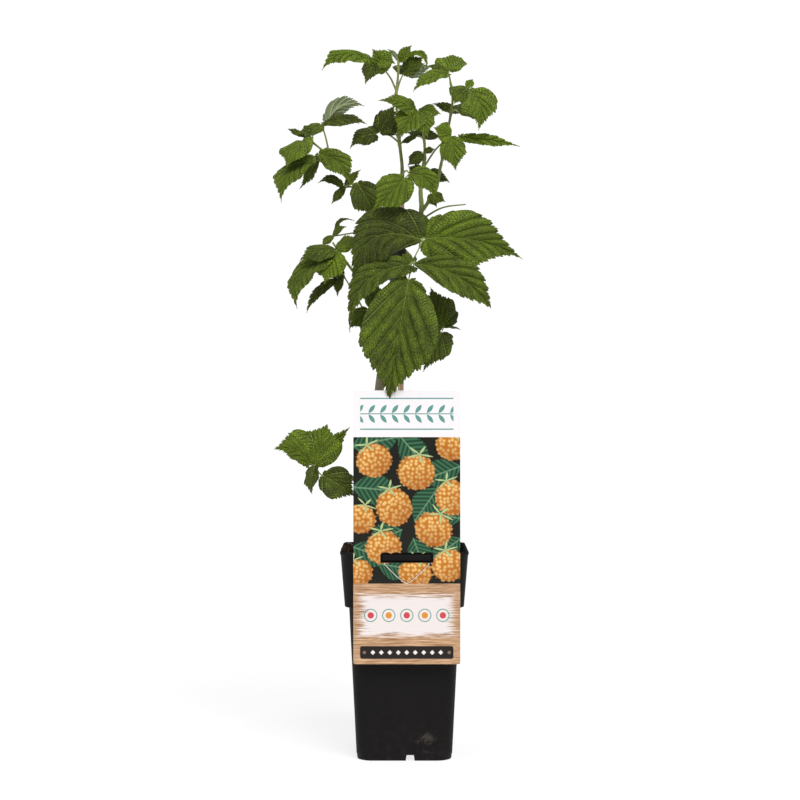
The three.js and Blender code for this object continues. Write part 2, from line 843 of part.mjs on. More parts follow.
function stakeRod(extra) {
  const line = new THREE.LineCurve3(vector(STAKE.foot), vector(STAKE.head));
  const radius = STAKE.radius + extra;
  return toSolid(rod(line, radius, radius, 1, STAKE.sides));
}

function buildPlant() {
  const plant = new THREE.Group();
  plant.name = "potted_raspberry_plant";
  const clearances = {};
  for (const [name, stem] of Object.entries(STEMS)) {
    clearances[name] = stemSolid(stem, GAP);
    let solid = stemSolid(stem);
    if (stem.parent) {
      solid = solid.subtract(clearances[stem.parent]);
    }
    plant.add(toMesh(solid, name, stem.colour, ROUGHNESS.stem));
  }
  for (const leaf of LEAVES) {
    plant.add(buildLeaf(leaf, Object.values(clearances)));
  }
  const stalkStart = pointAtHeight(STEMS[BARE_STALK.stem], BARE_STALK.height);
  const bareStalk = stalkSolid(petiolePath(stalkStart, vector(BARE_STALK.tip)), STALK.steps)
    .subtract(clearances[BARE_STALK.stem]);
  plant.add(toMesh(bareStalk, "bare_leaf_stalk", COLOURS.shoot, ROUGHNESS.stem));
  plant.add(toMesh(stakeRod(0), "bamboo_stake", COLOURS.stake, ROUGHNESS.stake));
  plant.add(buildTie());
  plant.add(buildCompost([clearances.cane, clearances.shoot_low, stakeRod(GAP)]));
  plant.add(buildPot());
  plant.add(buildCard());
  return plant;
}

export default buildPlant();
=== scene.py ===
"""A raspberry plant in a square nursery pot: its fine surfaces and finishes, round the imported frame.

Metres in Blender, +Z up, the picture card facing -Y. Lengths in this file are millimetres until a
mesh is made.
"""
from collections import namedtuple
from functools import partial
from types import SimpleNamespace

import bpy
import numpy as np
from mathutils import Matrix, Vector


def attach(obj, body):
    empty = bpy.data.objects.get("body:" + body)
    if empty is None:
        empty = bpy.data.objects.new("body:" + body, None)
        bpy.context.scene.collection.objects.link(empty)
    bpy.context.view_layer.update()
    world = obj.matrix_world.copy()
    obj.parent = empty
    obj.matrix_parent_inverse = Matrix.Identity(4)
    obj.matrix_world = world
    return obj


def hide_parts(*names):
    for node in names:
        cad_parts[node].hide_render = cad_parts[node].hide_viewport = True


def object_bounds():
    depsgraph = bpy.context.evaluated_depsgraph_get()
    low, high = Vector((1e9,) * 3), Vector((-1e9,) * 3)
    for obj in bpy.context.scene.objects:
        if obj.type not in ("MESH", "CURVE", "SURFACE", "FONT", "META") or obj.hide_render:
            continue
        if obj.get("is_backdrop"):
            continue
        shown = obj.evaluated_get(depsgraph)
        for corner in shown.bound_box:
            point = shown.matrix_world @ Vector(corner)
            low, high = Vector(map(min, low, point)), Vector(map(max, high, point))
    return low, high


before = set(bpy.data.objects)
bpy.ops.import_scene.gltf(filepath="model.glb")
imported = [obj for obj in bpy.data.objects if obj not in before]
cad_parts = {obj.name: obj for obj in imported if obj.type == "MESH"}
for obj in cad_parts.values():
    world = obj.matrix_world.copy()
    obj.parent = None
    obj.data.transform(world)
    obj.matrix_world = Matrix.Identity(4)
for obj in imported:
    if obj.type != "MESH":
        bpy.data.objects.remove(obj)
cad_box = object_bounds()

MM = 0.001
CIRCLE = 2 * np.pi
QUARTER = np.pi / 2
UP = np.array([0, 0, 1])
SHARP_ANGLE = np.radians(50)
STEM_SEED = 100
LEAF_SEED = 200
COMPOST_SEED = 7

# Square pot: half widths and heights of its outer wall.
POT_HEIGHT = 200
POT_BASE = 45.25
POT_SHOULDER = 52.9
POT_COLLAR = 56.8
POT_RIM = 61.25
POT_STEP = 147
POT_LIP = 3
POT_WALL = 1.8
POT_FLOOR = 8
FOOT_HEIGHT = 6
FOOT_WIDTH = 3.4
POT_CORNER = 13
CORNER_STEPS = 14

# A drain notch in the foot of each side: half widths below and above, its top, and how far off the middle.
NOTCH_HALF_WIDTHS = (4.6, 3.4)
NOTCH_TOP = 5.8
NOTCH_OFFSET = 5.5

# The lug that the card hangs from, and the card.
LUG_HALF_LENGTH = 23
LUG_HALF_HEIGHT = 2.5
LUG_MIDDLE = 195.5
LUG_FRONT = -64.8
CARD_MIDDLE = 2.2

# Compost: its height, how much it is heaped into the back left corner, and the lots of crumbs thrown over it,
# with how many they are, their sizes and their finish. Rim crumbs lie along the left side, with pale ones.
COMPOST_TOP = 189
COMPOST_HEAP = 6
CRUMB_LOTS = [(260, (0.8, 2.4), 0), (90, (1.2, 3.4), 1), (34, (0.7, 1.6), 2)]
RIM_CRUMBS = 70
RIM_ACROSS = (-59, -50)
RIM_ALONG = (-44, 46)
RIM_UP = (195, 201)
RIM_SIZES = (1.2, 3.0)
PALE_CRUMBS = [(-52.5, 20, 200.5), (-50, -8, 198), (-55, 38, 199.5)]
PALE_SIZES = [1.9, 1.3, 1.5]

# Bamboo stake and the band that ties the cane to it.
STAKE_FOOT = (-4.6, 1, 25)
STAKE_HEAD = (-2.8, 1, 541)
STAKE_RADIUS = 3
STAKE_NODES = (96, 214, 318, 372, 452, 520)
TIE_BOTTOM = 462
TIE_HEIGHT = 30
TIE_SLACK = 1.1
TIE_THICKNESS = 1

# Ways a blade can face.
FRONT = (0, -1, 0.3)
FRONT_UP = (0, -0.7, 0.7)
SKY = (0, -0.3, 1)
LEFT_FRONT = (-0.5, -0.7, 0.4)
BACK_UP = (0, 0.8, 0.6)

# Stems: the radius at each end, and the points that the centre line runs through.
Stem = namedtuple("Stem", "radius points")
STEMS = {
    "cane": Stem((4.5, 4.2), [(-27, 10, 130), (-27, 10, 200), (-25, 10, 350), (-14, 10, 420),
        (-9.5, 10, 465), (-8.5, 10, 508)]),
    "leader": Stem((2.2, 0.95), [(-8.5, 10, 498), (-4, 15, 514), (-3, 13, 540), (-2, 10, 571), (-5, 8, 600),
        (-7, 8, 628), (-8, 8, 643), (-6, 8, 665), (-6, 8, 680)]),
    "shoot_middle": Stem((3.6, 0.95), [(-8.5, 10, 494), (0, 9, 500), (9, 5, 510), (16.5, 0, 528),
        (16, -1, 550), (19, -2, 574), (20, -3, 589), (18, -5, 610)]),
    "shoot_right": Stem((1.9, 1.0), [(16.5, 0, 528), (23, -1, 537), (31, -2, 550), (35, -2, 570),
        (38, -2, 584), (44, -2, 615), (47.5, -2, 642), (45, -3, 655)]),
    "shoot_upper_left": Stem((1.8, 0.9), [(-4, 15, 514), (-18, 13, 528), (-38, 7, 546), (-55, 2, 560),
        (-68, 0, 577), (-81, -2, 589), (-94, -4, 599)]),
    "shoot_mid_left": Stem((1.8, 0.9), [(-18.5, 10, 392), (-30, 6, 430), (-42, 2, 459), (-54, -2, 475),
        (-64, -5, 489), (-70, -6, 498)]),
    "shoot_low": Stem((2.3, 1.3), [(-24, -22, 150), (-26, -24, 200), (-32, -28, 235), (-42, -30, 260),
        (-52, -32, 272)]),
}

# Leaves: the stem and the height on it where the stalk starts, the way the blades face, their tone and shade
# from 0 to 1, which is how light their green is: partly its own colour, from old leaves to soft young ones,
# and partly painted shade, low for leaves and leaflets that lie in shadow. Then the hubs that the leaflets
# spread from, and a point that the stalk goes round by. Leaflets, the first being the terminal one: the tip,
# half the blade's breadth, or a pair for its two halves, how far the midrib bows outward and sideways, all
# over its length, how full its outline is, and whatever differs from the rest of the leaf.
Leaf = namedtuple("Leaf", "stem height face tone hubs blades via", defaults=[None])
Blade = namedtuple("Blade", "tip width arch bend full tone face hub",
                   defaults=[0.04, 0.0, None, None, None, 0])
LEAVES = {
    "leaf_front_large": Leaf("shoot_middle", 522, FRONT, 0.4, [(18, -28, 500), (7, -42, 475)], [
        Blade((-16, -73, 343), 0.3, 0.06, full=0.3, hub=1),
        Blade((83, -60, 432), 0.2, 0.06, -0.1, full=0.05, tone=0.45, hub=1),
        Blade((-54, -62, 409), 0.15, 0.08, 0.2, full=0.9, tone=0.3, face=(-0.2, -0.9, 0.3), hub=1),
        Blade((117, -36, 482), 0.28, 0.08, -0.04, full=0.8, tone=0.6),
        Blade((-50, -46, 452), (0.3, 0.34), 0.12, 0.3, full=(0.2, 1.4), tone=0.12),
    ]),
    "leaf_front_right_low": Leaf("cane", 415, FRONT, 0.25, [(38, -28, 414)], [
        Blade((18, -38, 371), 0.36, full=1.2),
        Blade((25, -20, 455), 0.4, full=1.0),
        Blade((54, -34, 413), 0.2, face=SKY),
    ], via=(6, 11, 424)),
    "leaf_front_left_low": Leaf("cane", 404, FRONT, 0.35, [(-31, -12, 432)], [
        Blade((-54, -26, 414), 0.38),
        Blade((-27, -14, 460), 0.34),
        Blade((-27, -28, 398), 0.36),
    ]),
    "leaf_mid_left_wide": Leaf("shoot_mid_left", 484, LEFT_FRONT, 0.5, [(-66, -14, 489)], [
        Blade((-106, -46, 434), 0.25, 0.06, 0.18),
        Blade((-44, -12, 504), 0.36, face=FRONT_UP),
        Blade((-102, -30, 480), 0.3, 0.1, tone=0.3, face=FRONT_UP),
        Blade((-77, -36, 457), 0.38, tone=0.9, face=(-0.2, -1, 0.2)),
    ]),
    "leaf_mid_left_low": Leaf("cane", 380, LEFT_FRONT, 0.2, [(-60, 6, 467)], [
        Blade((-99, 2, 430), 0.14, 0.12),
        Blade((-67, 4, 446), 0.25),
        Blade((-92, 20, 478), 0.3, face=FRONT_UP),
    ]),
    "leaf_mid_left_young": Leaf("cane", 500, FRONT_UP, 0.4, [(-70, 5, 505)], [
        Blade((-49, 8, 521), 0.08, bend=-0.35, face=FRONT),
        Blade((-57, 0, 515), 0.3, 0.1),
        Blade((-81, 0, 495), 0.3),
    ]),
    "leaf_upper_left_wide": Leaf("shoot_upper_left", 585, LEFT_FRONT, 0.6, [(-83, -9, 584)], [
        Blade((-120, -42, 536), 0.27, 0.08, 0.12),
        Blade((-52, -26, 555), 0.28, bend=-0.12, face=FRONT),
        Blade((-101, -10, 548), 0.14, tone=0.2, face=(0.6, -0.7, 0.2)),
    ]),
    "leaf_upper_left_pale": Leaf("shoot_upper_left", 582, FRONT_UP, 0.6, [(-81, 1, 614)], [
        Blade((-40, 10, 635), 0.22, bend=0.2, face=BACK_UP),
        Blade((-37, -14, 615), 0.19, bend=-0.08, tone=0.15),
        Blade((-107, -12, 605), 0.32, bend=-0.16, tone=0.35),
    ]),
    "leaf_upper_left_tip": Leaf("shoot_upper_left", 597, LEFT_FRONT, 0.75, [(-97, -6, 601)], [
        Blade((-117, -30, 567), 0.46, 0.1, -0.12),
        Blade((-115, -2, 610), 0.15, tone=0.3, face=FRONT),
        Blade((-90, -15, 599), 0.42, face=(0.5, 1, 0)),
    ]),
    "leaf_upper_left_twig": Leaf("shoot_upper_left", 549, FRONT, 0.25, [(-58, -6, 552), (-46, -8, 556)], [
        Blade((-84, -10, 556), 0.2, bend=0.22),
        Blade((-71, -10, 535), 0.2),
        Blade((-43, -6, 570), 0.18),
        Blade((-27, -12, 523), 0.4, tone=0.15, hub=1),
    ]),
    "leaf_centre": Leaf("leader", 566, FRONT, 0.7, [(5, -22, 563)], [
        Blade((-32, -46, 525), 0.33, 0.1, -0.06),
        Blade((28, -38, 538), 0.3, 0.08, -0.18),
    ]),
    "leaf_centre_behind": Leaf("shoot_middle", 560, FRONT_UP, 0.15, [(16, 12, 565)], [
        Blade((46, 10, 560), 0.4, 0.1),
        Blade((4, 8, 574), 0.5, face=FRONT),
        Blade((20, 50, 576), 0.3, 0.1, face=SKY),
    ]),
    "leaf_right_small": Leaf("shoot_right", 540, FRONT, 0.35, [(24, -9, 544)], [
        Blade((40, -14, 537), 0.38),
        Blade((32, -12, 532), 0.34),
    ]),
    "leaf_right_long": Leaf("shoot_middle", 571, FRONT, 0.7, [(45, -14, 600)], [
        Blade((114, -14, 592), 0.095, 0.03, tone=1.0),
        Blade((49, -36, 565), 0.31, 0.06),
        Blade((29, -26, 607), 0.48, tone=0.95),
    ]),
    "leaf_top_right_wide": Leaf("shoot_right", 640, FRONT, 0.75, [(61, -10, 648)], [
        Blade((70, -38, 604), 0.37, 0.08, -0.16),
        Blade((48, -26, 631), 0.5, tone=0.5),
        Blade((67, -6, 658), 0.36, tone=1.0),
    ]),
    "leaf_top_right_upper": Leaf("shoot_right", 652, FRONT_UP, 0.8, [(43, -6, 663)], [
        Blade((48, 12, 687), 0.56, 0.06),
        Blade((23, -2, 673), 0.34, tone=0.4),
        Blade((7, -32, 644), 0.21, 0.06),
    ]),
    "leaf_top_centre": Leaf("shoot_middle", 607, (0, -0.85, 0.5), 0.7, [(14, -12, 625)], [
        Blade((-24, -34, 634), 0.28, 0.06, full=1.0),
        Blade((-6, -40, 597), 0.32, face=FRONT),
        Blade((36, -14, 623), 0.42, tone=0.65),
        Blade((22, -32, 598), 0.35, face=FRONT),
    ]),
    "leaf_upper_dark": Leaf("leader", 597, FRONT, 0.05, [(-24, 4, 607)], [
        Blade((-54, -2, 591), 0.32, 0.04, 0.12, full=1.0),
        Blade((-9, -2, 634), 0.34, full=1.0),
        Blade((-2, 2, 621), 0.4),
        Blade((-22, 40, 620), 0.3, face=SKY),
    ]),
    "leaf_centre_dark": Leaf("shoot_middle", 598, FRONT_UP, 0.1, [(13, 10, 604)], [
        Blade((-5, 16, 598), 0.3),
        Blade((38, 18, 606), 0.3),
        Blade((16, 44, 616), 0.32, face=SKY),
    ]),
    "leaf_centre_low_dark": Leaf("shoot_middle", 580, FRONT, 0.1, [(19, -10, 586)], [
        Blade((3, -12, 572), 0.34),
        Blade((30, -12, 588), 0.3),
    ]),
    "leaf_top_left": Leaf("leader", 648, FRONT, 0.85, [(-18, 2, 666), (-28, -4, 677)], [
        Blade((-79, -28, 665), 0.22, 0.06, 0.22, face=FRONT_UP, hub=1),
        Blade((-38, -20, 651), 0.26, tone=0.1, hub=1),
        Blade((-9, -14, 672), 0.45, hub=1),
        Blade((-30, -14, 685), 0.5),
    ]),
    "leaf_top_behind": Leaf("leader", 645, BACK_UP, 0.2, [(-1, 14, 666)], [
        Blade((27, 20, 675), 0.3, 0.04),
        Blade((19, 8, 683), 0.36, face=FRONT),
        Blade((4, 52, 684), 0.3, face=SKY),
    ]),
    "leaf_shoot_tip": Leaf("leader", 670, FRONT, 0.9, [(-5, 9, 678)], [
        Blade((-17, 11, 691), 0.16, 0.2, face=BACK_UP),
        Blade((5, 0, 687), 0.36),
        Blade((7, 4, 693), 0.3),
        Blade((22, -2, 665), 0.1, bend=-0.5),
    ]),
    "leaf_ground_left": Leaf("shoot_low", 266, FRONT, 0.65, [(-79, -36, 272), (-86, -34, 281)], [
        Blade((-125, -46, 297), (0.25, 0.55), 0.14, 0.16, hub=1),
        Blade((-74, -32, 323), 0.5, 0.1, hub=1),
        Blade((-51, -24, 320), 0.13, 0.1, hub=1),
        Blade((-46, -46, 253), 0.42, 0.08, tone=0.2),
        Blade((-90, -46, 255), 0.3, tone=0.15, face=LEFT_FRONT, hub=1),
    ]),
    "leaf_back_top": Leaf("leader", 616, SKY, 0.5, [(0, 38, 628)], [
        Blade((-6, 86, 612), 0.36, 0.12),
        Blade((-26, 56, 632), 0.36, 0.08),
        Blade((30, 60, 628), 0.34, 0.08),
    ]),
    "leaf_back_right": Leaf("shoot_right", 625, SKY, 0.2, [(54, 24, 630)], [
        Blade((76, 68, 640), 0.36, 0.12),
        Blade((80, 22, 622), 0.22, 0.04, face=FRONT_UP),
        Blade((46, 60, 642), 0.34, 0.08),
        Blade((28, 16, 638), 0.18, face=FRONT),
    ]),
    "leaf_back_left": Leaf("leader", 524, SKY, 0.5, [(-18, 40, 528)], [
        Blade((-30, 92, 508), 0.36, 0.12),
        Blade((-48, 60, 522), 0.36, 0.08),
        Blade((12, 72, 526), 0.34, 0.08),
    ]),
    "leaf_back_middle": Leaf("cane", 446, SKY, 0.5, [(-22, 48, 500)], [
        Blade((-26, 100, 488), 0.36, 0.12),
        Blade((-50, 62, 494), 0.4, 0.08),
        Blade((10, 72, 492), 0.38, 0.08),
    ]),
    "leaf_back_low": Leaf("cane", 400, SKY, 0.5, [(-10, 48, 424)], [
        Blade((-14, 108, 392), 0.38, 0.12),
        Blade((-42, 74, 416), 0.36, 0.08),
        Blade((28, 76, 414), 0.36, 0.08),
    ]),
}
BARE_STALK_HEIGHT = 519
BARE_STALK_TIP = (60, -6, 535)

# How a leaflet is shaped. Lengths are shares of the blade's length unless they say otherwise.
BLADE_THICKNESS = 0.35   # millimetres
TIP_HALF_WIDTH = 0.3     # millimetres
RIB_DEPTH = 0.6          # millimetres
FOLD = 0.3
CURL = 0.34
EDGE_WAVE = 0.1
TIP_DROOP = 0.1
TWIST = 0.14             # radians
QUILT_HEIGHT = 0.42      # of the gap between side veins
FEWEST_VEINS = 6
VEIN_STEPS = (30, 60, 95)   # millimetres: past each of these a blade has one more side vein
LARGE_BLADE = 50         # millimetres: a longer blade has one more tooth to each vein
VEIN_OFFSET = 0.37       # of the gap between side veins, from one half's veins to the other's
FAN_SHARE = 0.3          # of the side veins, those that leave from the base itself
FAN_ANGLES = (142, 31, 17)  # degrees off the midrib: the first, the last of the fan, and the one at the tip
TOOTH_PEAK = 0.74        # where in its length a tooth is highest: it leans to the tip
TOOTH_DEPTH = 0.85       # of a tooth's length
TOOTH_SIZES = (0.45, 1.25)
TOOTH_DRAWS = 64
LOBE_DEPTH = 0.3         # of the gap between side veins
HEART_DEPTH = 0.07
ROWS_PER_TOOTH = 6
OUTLINE_PROBES = 160
TERMINAL_FULLNESS = 0.6
LATERAL_FULLNESS = 0.45
TERMINAL_STALK = 0.13
LATERAL_STALK = 0.03

# Stalks and stems. The rise is a share of the stalk's length.
STALK_RISE = 0.1
STALK_STEPS = 8
STALK_RADIUS = (1.05, 0.65)
STALK_SIDES = 8
RIB_SIDES = 6
STEM_SIDES = 14
STEM_STEPS = 10
NODE_REACH = 3.2
NODE_SWELLING = 0.28
PRICKLES_PER_MM = 0.8
PRICKLE_LENGTH = (0.6, 1.3)
PRICKLE_RADIUS = 0.28
PRICKLE_LEAN = 0.4

# Small veins between a leaf's side veins, real ones about 2 to 3 mm apart, and the quilted cells they bound.
LADDER_PITCH = 2.8
LADDER_SWAY = 3.0
CELL_SIZE = 2.2

# A pale smear low on the pot's front.
SMEAR = (21 * MM, -46 * MM, 17 * MM)

# The card's print, in millimetres across from its middle and up. Berries: middle, half width, half height and
# tilt in degrees. Leaves: foot, length, heading in degrees and half breadth over the length.
CARD_BERRIES = [
    (42, 301, 15, 14, -30), (-31, 287, 17, 16, 25), (9, 276, 18, 17, -10), (43, 252, 16, 17, 20),
    (-12, 243, 17, 18, 15), (-44, 232, 15, 14, -20), (25, 222, 18, 16, -25), (-22, 205, 17, 16, 10),
    (40, 188, 17, 15, 15), (8, 181, 16, 14, -15), (-46, 181, 14, 13, 20),
]
CARD_LEAVES = [
    (-52, 300, 46, 12, 0.3), (-8, 312, 44, -50, 0.28), (52, 282, 42, 200, 0.3), (-52, 262, 44, -5, 0.32),
    (30, 262, 40, 235, 0.34), (52, 232, 38, 170, 0.3), (-4, 222, 36, 205, 0.36), (6, 214, 34, -70, 0.34),
    (-52, 206, 40, -20, 0.3), (-28, 190, 34, -10, 0.36), (52, 214, 36, 215, 0.3),
]
DRUPE_SIZE = 3.8
SEPALS = 5
HEADER_FOOT = 309
PICTURE_FOOT = 171
TEAL = "#5f978f"

# The garland in the card's head: its middle, half length, rules and sprigs.
GARLAND_MIDDLE = 331
GARLAND_HALF = 44
RULE_OFFSET = 14.5
SPRIG_PITCH = 11
SPRIG_RISE = 4.6
SPRIG_HALF_LENGTH = 5
SPRIG_HALF_WIDTH = 1.9

# The panel in the card's foot with its row of ringed dots, and the plate under it.
PANEL_MIDDLE = 141
PANEL_HALF_WIDTH = 48
PANEL_HALF_HEIGHT = 22
DOT_PITCH = 17
DOT_RADIUS = 3
RING_RADIUS = 5.8
ROW_HALF_LENGTH = 42
PLATE_MIDDLE = 106
PLATE_HALF_WIDTH = 42
PLATE_HALF_HEIGHT = 4
PLATE_CORNER = 2
RIVET_OFFSET = 40
RIVET_RADIUS = 1.6
DIAMOND_PITCH = 8
DIAMOND_HALF = 2.3
DIAMONDS_HALF_LENGTH = 34

# The slit under the lug: half widths of its straight and its bowed share, and half the cut edge's breadth.
SLIT_TOP = 189.5
SLIT_APEX = 171.5
SLIT_STRAIGHT = 13
SLIT_BOW = 8
SLIT_EDGE = 0.6

# Studio, in metres: the camera's place, with its lens in millimetres, half the floor's width, and lamps with
# their direction, apparent angle in degrees and strength.
CAMERA_PLACE = (-0.0042, -1.65, 0.344)
CAMERA_LENS = 75.8
FLOOR_HALF = 4.0
LAMPS = [
    ("key_diffuser", (0.3, -0.8, 1.0), 30, 2.6),
    ("side_diffuser", (-0.9, -0.6, 0.7), 50, 0.4),
    ("top_diffuser", (0.0, 0.15, 1.0), 60, 0.5),
]

# A stretch of a mesh: its points, lists of faces, each list's finish, the marks for veins, and the tone,
# which for leaves holds painted shade as well.
Part = namedtuple("Part", "points faces finishes blade tone", defaults=[None, 0.5])


def unit(vectors):
    """Each vector divided by its own length."""
    return vectors / np.maximum(np.linalg.norm(vectors, axis=-1, keepdims=True), 1e-9)


def spline(points, steps):
    """A centripetal Catmull-Rom curve: cubics through the points, timed by the root of their distance."""
    points = np.asarray(points, float)
    before = 2 * points[:1] - points[1:2]
    after = 2 * points[-1:] - points[-2:-1]
    knots = np.concatenate([before, points, after])
    gap = np.sqrt(np.linalg.norm(np.diff(knots, axis=0), axis=1))[:, None]
    p0, p1, p2, p3 = knots[:-3], knots[1:-2], knots[2:-1], knots[3:]
    g0, g1, g2 = gap[:-2], gap[1:-1], gap[2:]
    leave = ((p1 - p0) / g0 - (p2 - p0) / (g0 + g1) + (p2 - p1) / g1) * g1
    arrive = ((p2 - p1) / g1 - (p3 - p1) / (g1 + g2) + (p3 - p2) / g2) * g1
    t = np.linspace(0, 1, steps, endpoint=False)[None, :, None]
    curve = ((2 * t**3 - 3 * t**2 + 1) * p1[:, None] + (t**3 - 2 * t**2 + t) * leave[:, None]
             + (3 * t**2 - 2 * t**3) * p2[:, None] + (t**3 - t**2) * arrive[:, None])
    return np.concatenate([curve.reshape(-1, 3), points[-1:]])


def at_height(path, height):
    """The point of a rising path at a height, by straight interpolation."""
    return np.array([np.interp(height, path[:, 2], path[:, axis]) for axis in range(3)])


def grid_faces(rows, columns, wrap_rows=False, wrap_columns=False):
    """Quads of a grid of points stored row by row; a wrapped way joins its last line to its first."""
    row, column = np.mgrid[0:rows - (not wrap_rows), 0:columns - (not wrap_columns)]
    here = row * columns
    beyond = (row + 1) % rows * columns
    beside = (column + 1) % columns
    return np.stack([here + column, here + beside, beyond + beside, beyond + column], -1).reshape(-1, 4)


def tube_faces(rows, columns):
    """Quads of a tube of points stored ring by ring, and a face over each end."""
    first = np.arange(columns)[None]
    return [grid_faces(rows, columns, wrap_columns=True), first[:, ::-1], first + (rows - 1) * columns]


def round_section(sides):
    """A circle of radius one."""
    angle = np.linspace(0, CIRCLE, sides, endpoint=False)
    return np.stack([np.cos(angle), np.sin(angle)], -1)


def box_section(half_a, half_b, sides, squareness):
    """A superellipse: a rectangle of those half sides whose corners are rounded."""
    circle = round_section(sides)
    flat = np.sign(circle) * np.abs(circle) ** (2 / squareness)
    return flat * (half_a, half_b)


def carry(section, path, scales, closed=False, finishes=(0, 0, 0)):
    """A section carried along a path, its size multiplied by scales, with flat ends unless closed.

    At each point the section lies square to the path, on axes made from the path's direction and the
    world axis that the path follows least. finishes are the side's, the start's and the end's.
    """
    rows, columns = len(path), len(section)
    if closed:
        ahead = np.roll(path, -1, 0) - np.roll(path, 1, 0)
        faces = [grid_faces(rows, columns, wrap_rows=True, wrap_columns=True)]
    else:
        ahead = np.gradient(path, axis=0)
        faces = tube_faces(rows, columns)
    tangent = unit(ahead)
    least = np.eye(3)[np.argmin(np.ptp(path, axis=0))]
    side = unit(np.cross(tangent, least))
    rise = np.cross(tangent, side)
    ring = side[:, None] * section[None, :, :1] + rise[:, None] * section[None, :, 1:]
    points = path[:, None] + np.reshape(scales, (-1, 1, 1)) * ring
    return Part(points.reshape(-1, 3), faces, list(finishes[:len(faces)]))


def new_object(name, data):
    """An object in the scene."""
    thing = bpy.data.objects.new(name, data)
    bpy.context.collection.objects.link(thing)
    return thing


def make_piece(name, parts, materials, nodes):
    """Joins parts into one mesh object, which rides the plant and stands for the named nodes."""
    counts = [len(part.points) for part in parts]
    starts = np.cumsum([0] + counts)
    points = np.concatenate([part.points for part in parts]) * MM
    faces = [face + start for part, start in zip(parts, starts) for face in part.faces]
    finishes = [finish for part in parts for finish in part.finishes]
    sizes = np.concatenate([np.full(len(face), face.shape[1]) for face in faces])
    corners = np.concatenate([face.ravel() for face in faces])
    mesh = bpy.data.meshes.new(name)
    mesh.vertices.add(len(points))
    mesh.vertices.foreach_set("co", points.ravel())
    mesh.loops.add(len(corners))
    mesh.loops.foreach_set("vertex_index", corners)
    mesh.polygons.add(len(sizes))
    mesh.polygons.foreach_set("loop_start", np.cumsum(sizes) - sizes)
    mesh.polygons.foreach_set("material_index", np.repeat(finishes, [len(face) for face in faces]))
    mesh.update(calc_edges=True)
    mesh.shade_smooth()
    mesh.set_sharp_from_angle(angle=SHARP_ANGLE)
    marks = [np.zeros((len(part.points), 3)) if part.blade is None else part.blade for part in parts]
    blade = mesh.attributes.new("blade", "FLOAT_VECTOR", "POINT")
    blade.data.foreach_set("vector", np.concatenate(marks).ravel())
    tone = mesh.attributes.new("tone", "FLOAT", "POINT")
    tone.data.foreach_set("value", np.repeat([part.tone for part in parts], counts))
    for material in materials:
        mesh.materials.append(material)
    piece = new_object(name, mesh)
    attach(piece, "root")
    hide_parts(*nodes)
    return piece


def linear(hex_colour):
    """An sRGB hex colour as linear red, green, blue and alpha."""
    srgb = np.array([int(hex_colour[place:place + 2], 16) for place in (1, 3, 5)]) / 255
    rgb = np.where(srgb <= 0.04045, srgb / 12.92, ((srgb + 0.055) / 1.055) ** 2.4)
    return (*rgb, 1.0)


# What the second word of a node's kind sets, where it isn't the operation.
MODES = {"MapRange": "interpolation_type", "Mix": "data_type", "Attribute": "attribute_name",
         "TexVoronoi": "feature", "Mapping": "vector_type"}


def feed(node, *values, **named):
    """Feeds a node's sockets, in their order or by name with underscores for spaces, each with a number, a
    hex colour, a socket, or a node whose first output feeds it."""
    sockets = [socket for socket in node.inputs if socket.enabled]
    by_name = {socket.name.replace(" ", "_"): socket for socket in sockets}
    for socket, value in [*zip(sockets, values), *((by_name[name], named[name]) for name in named)]:
        if isinstance(value, bpy.types.Node):
            value = [output for output in value.outputs if output.enabled][0]
        if isinstance(value, bpy.types.NodeSocket):
            node.id_data.links.new(value, socket)
        else:
            socket.default_value = linear(value) if isinstance(value, str) else value


def add(tree, kind, *values, **named):
    """Adds a node of a kind, which may have its mode as a second word, and feeds it."""
    kind, *mode = kind.split()
    node = tree.nodes.new("ShaderNode" + kind)
    for setting in mode:
        setattr(node, MODES.get(kind, "operation"), setting)
    feed(node, *values, **named)
    return node


def start_material(name, **inputs):
    """A material whose Principled shader has these sockets set. Gives the function that adds nodes to it, the
    object's own coordinates, and the function that feeds the shader and gives the material."""
    material = bpy.data.materials.new(name)
    material.use_nodes = True
    material.node_tree.nodes.clear()
    node = partial(add, material.node_tree)
    shader = node("BsdfPrincipled", **inputs)
    node("OutputMaterial", Surface=shader)

    def finish(**sources):
        feed(shader, **sources)
        return material

    return node, node("TexCoord").outputs["Object"], finish


def per(millimetres):
    """A texture scale that repeats about once in this many millimetres."""
    return 1 / (millimetres * MM)


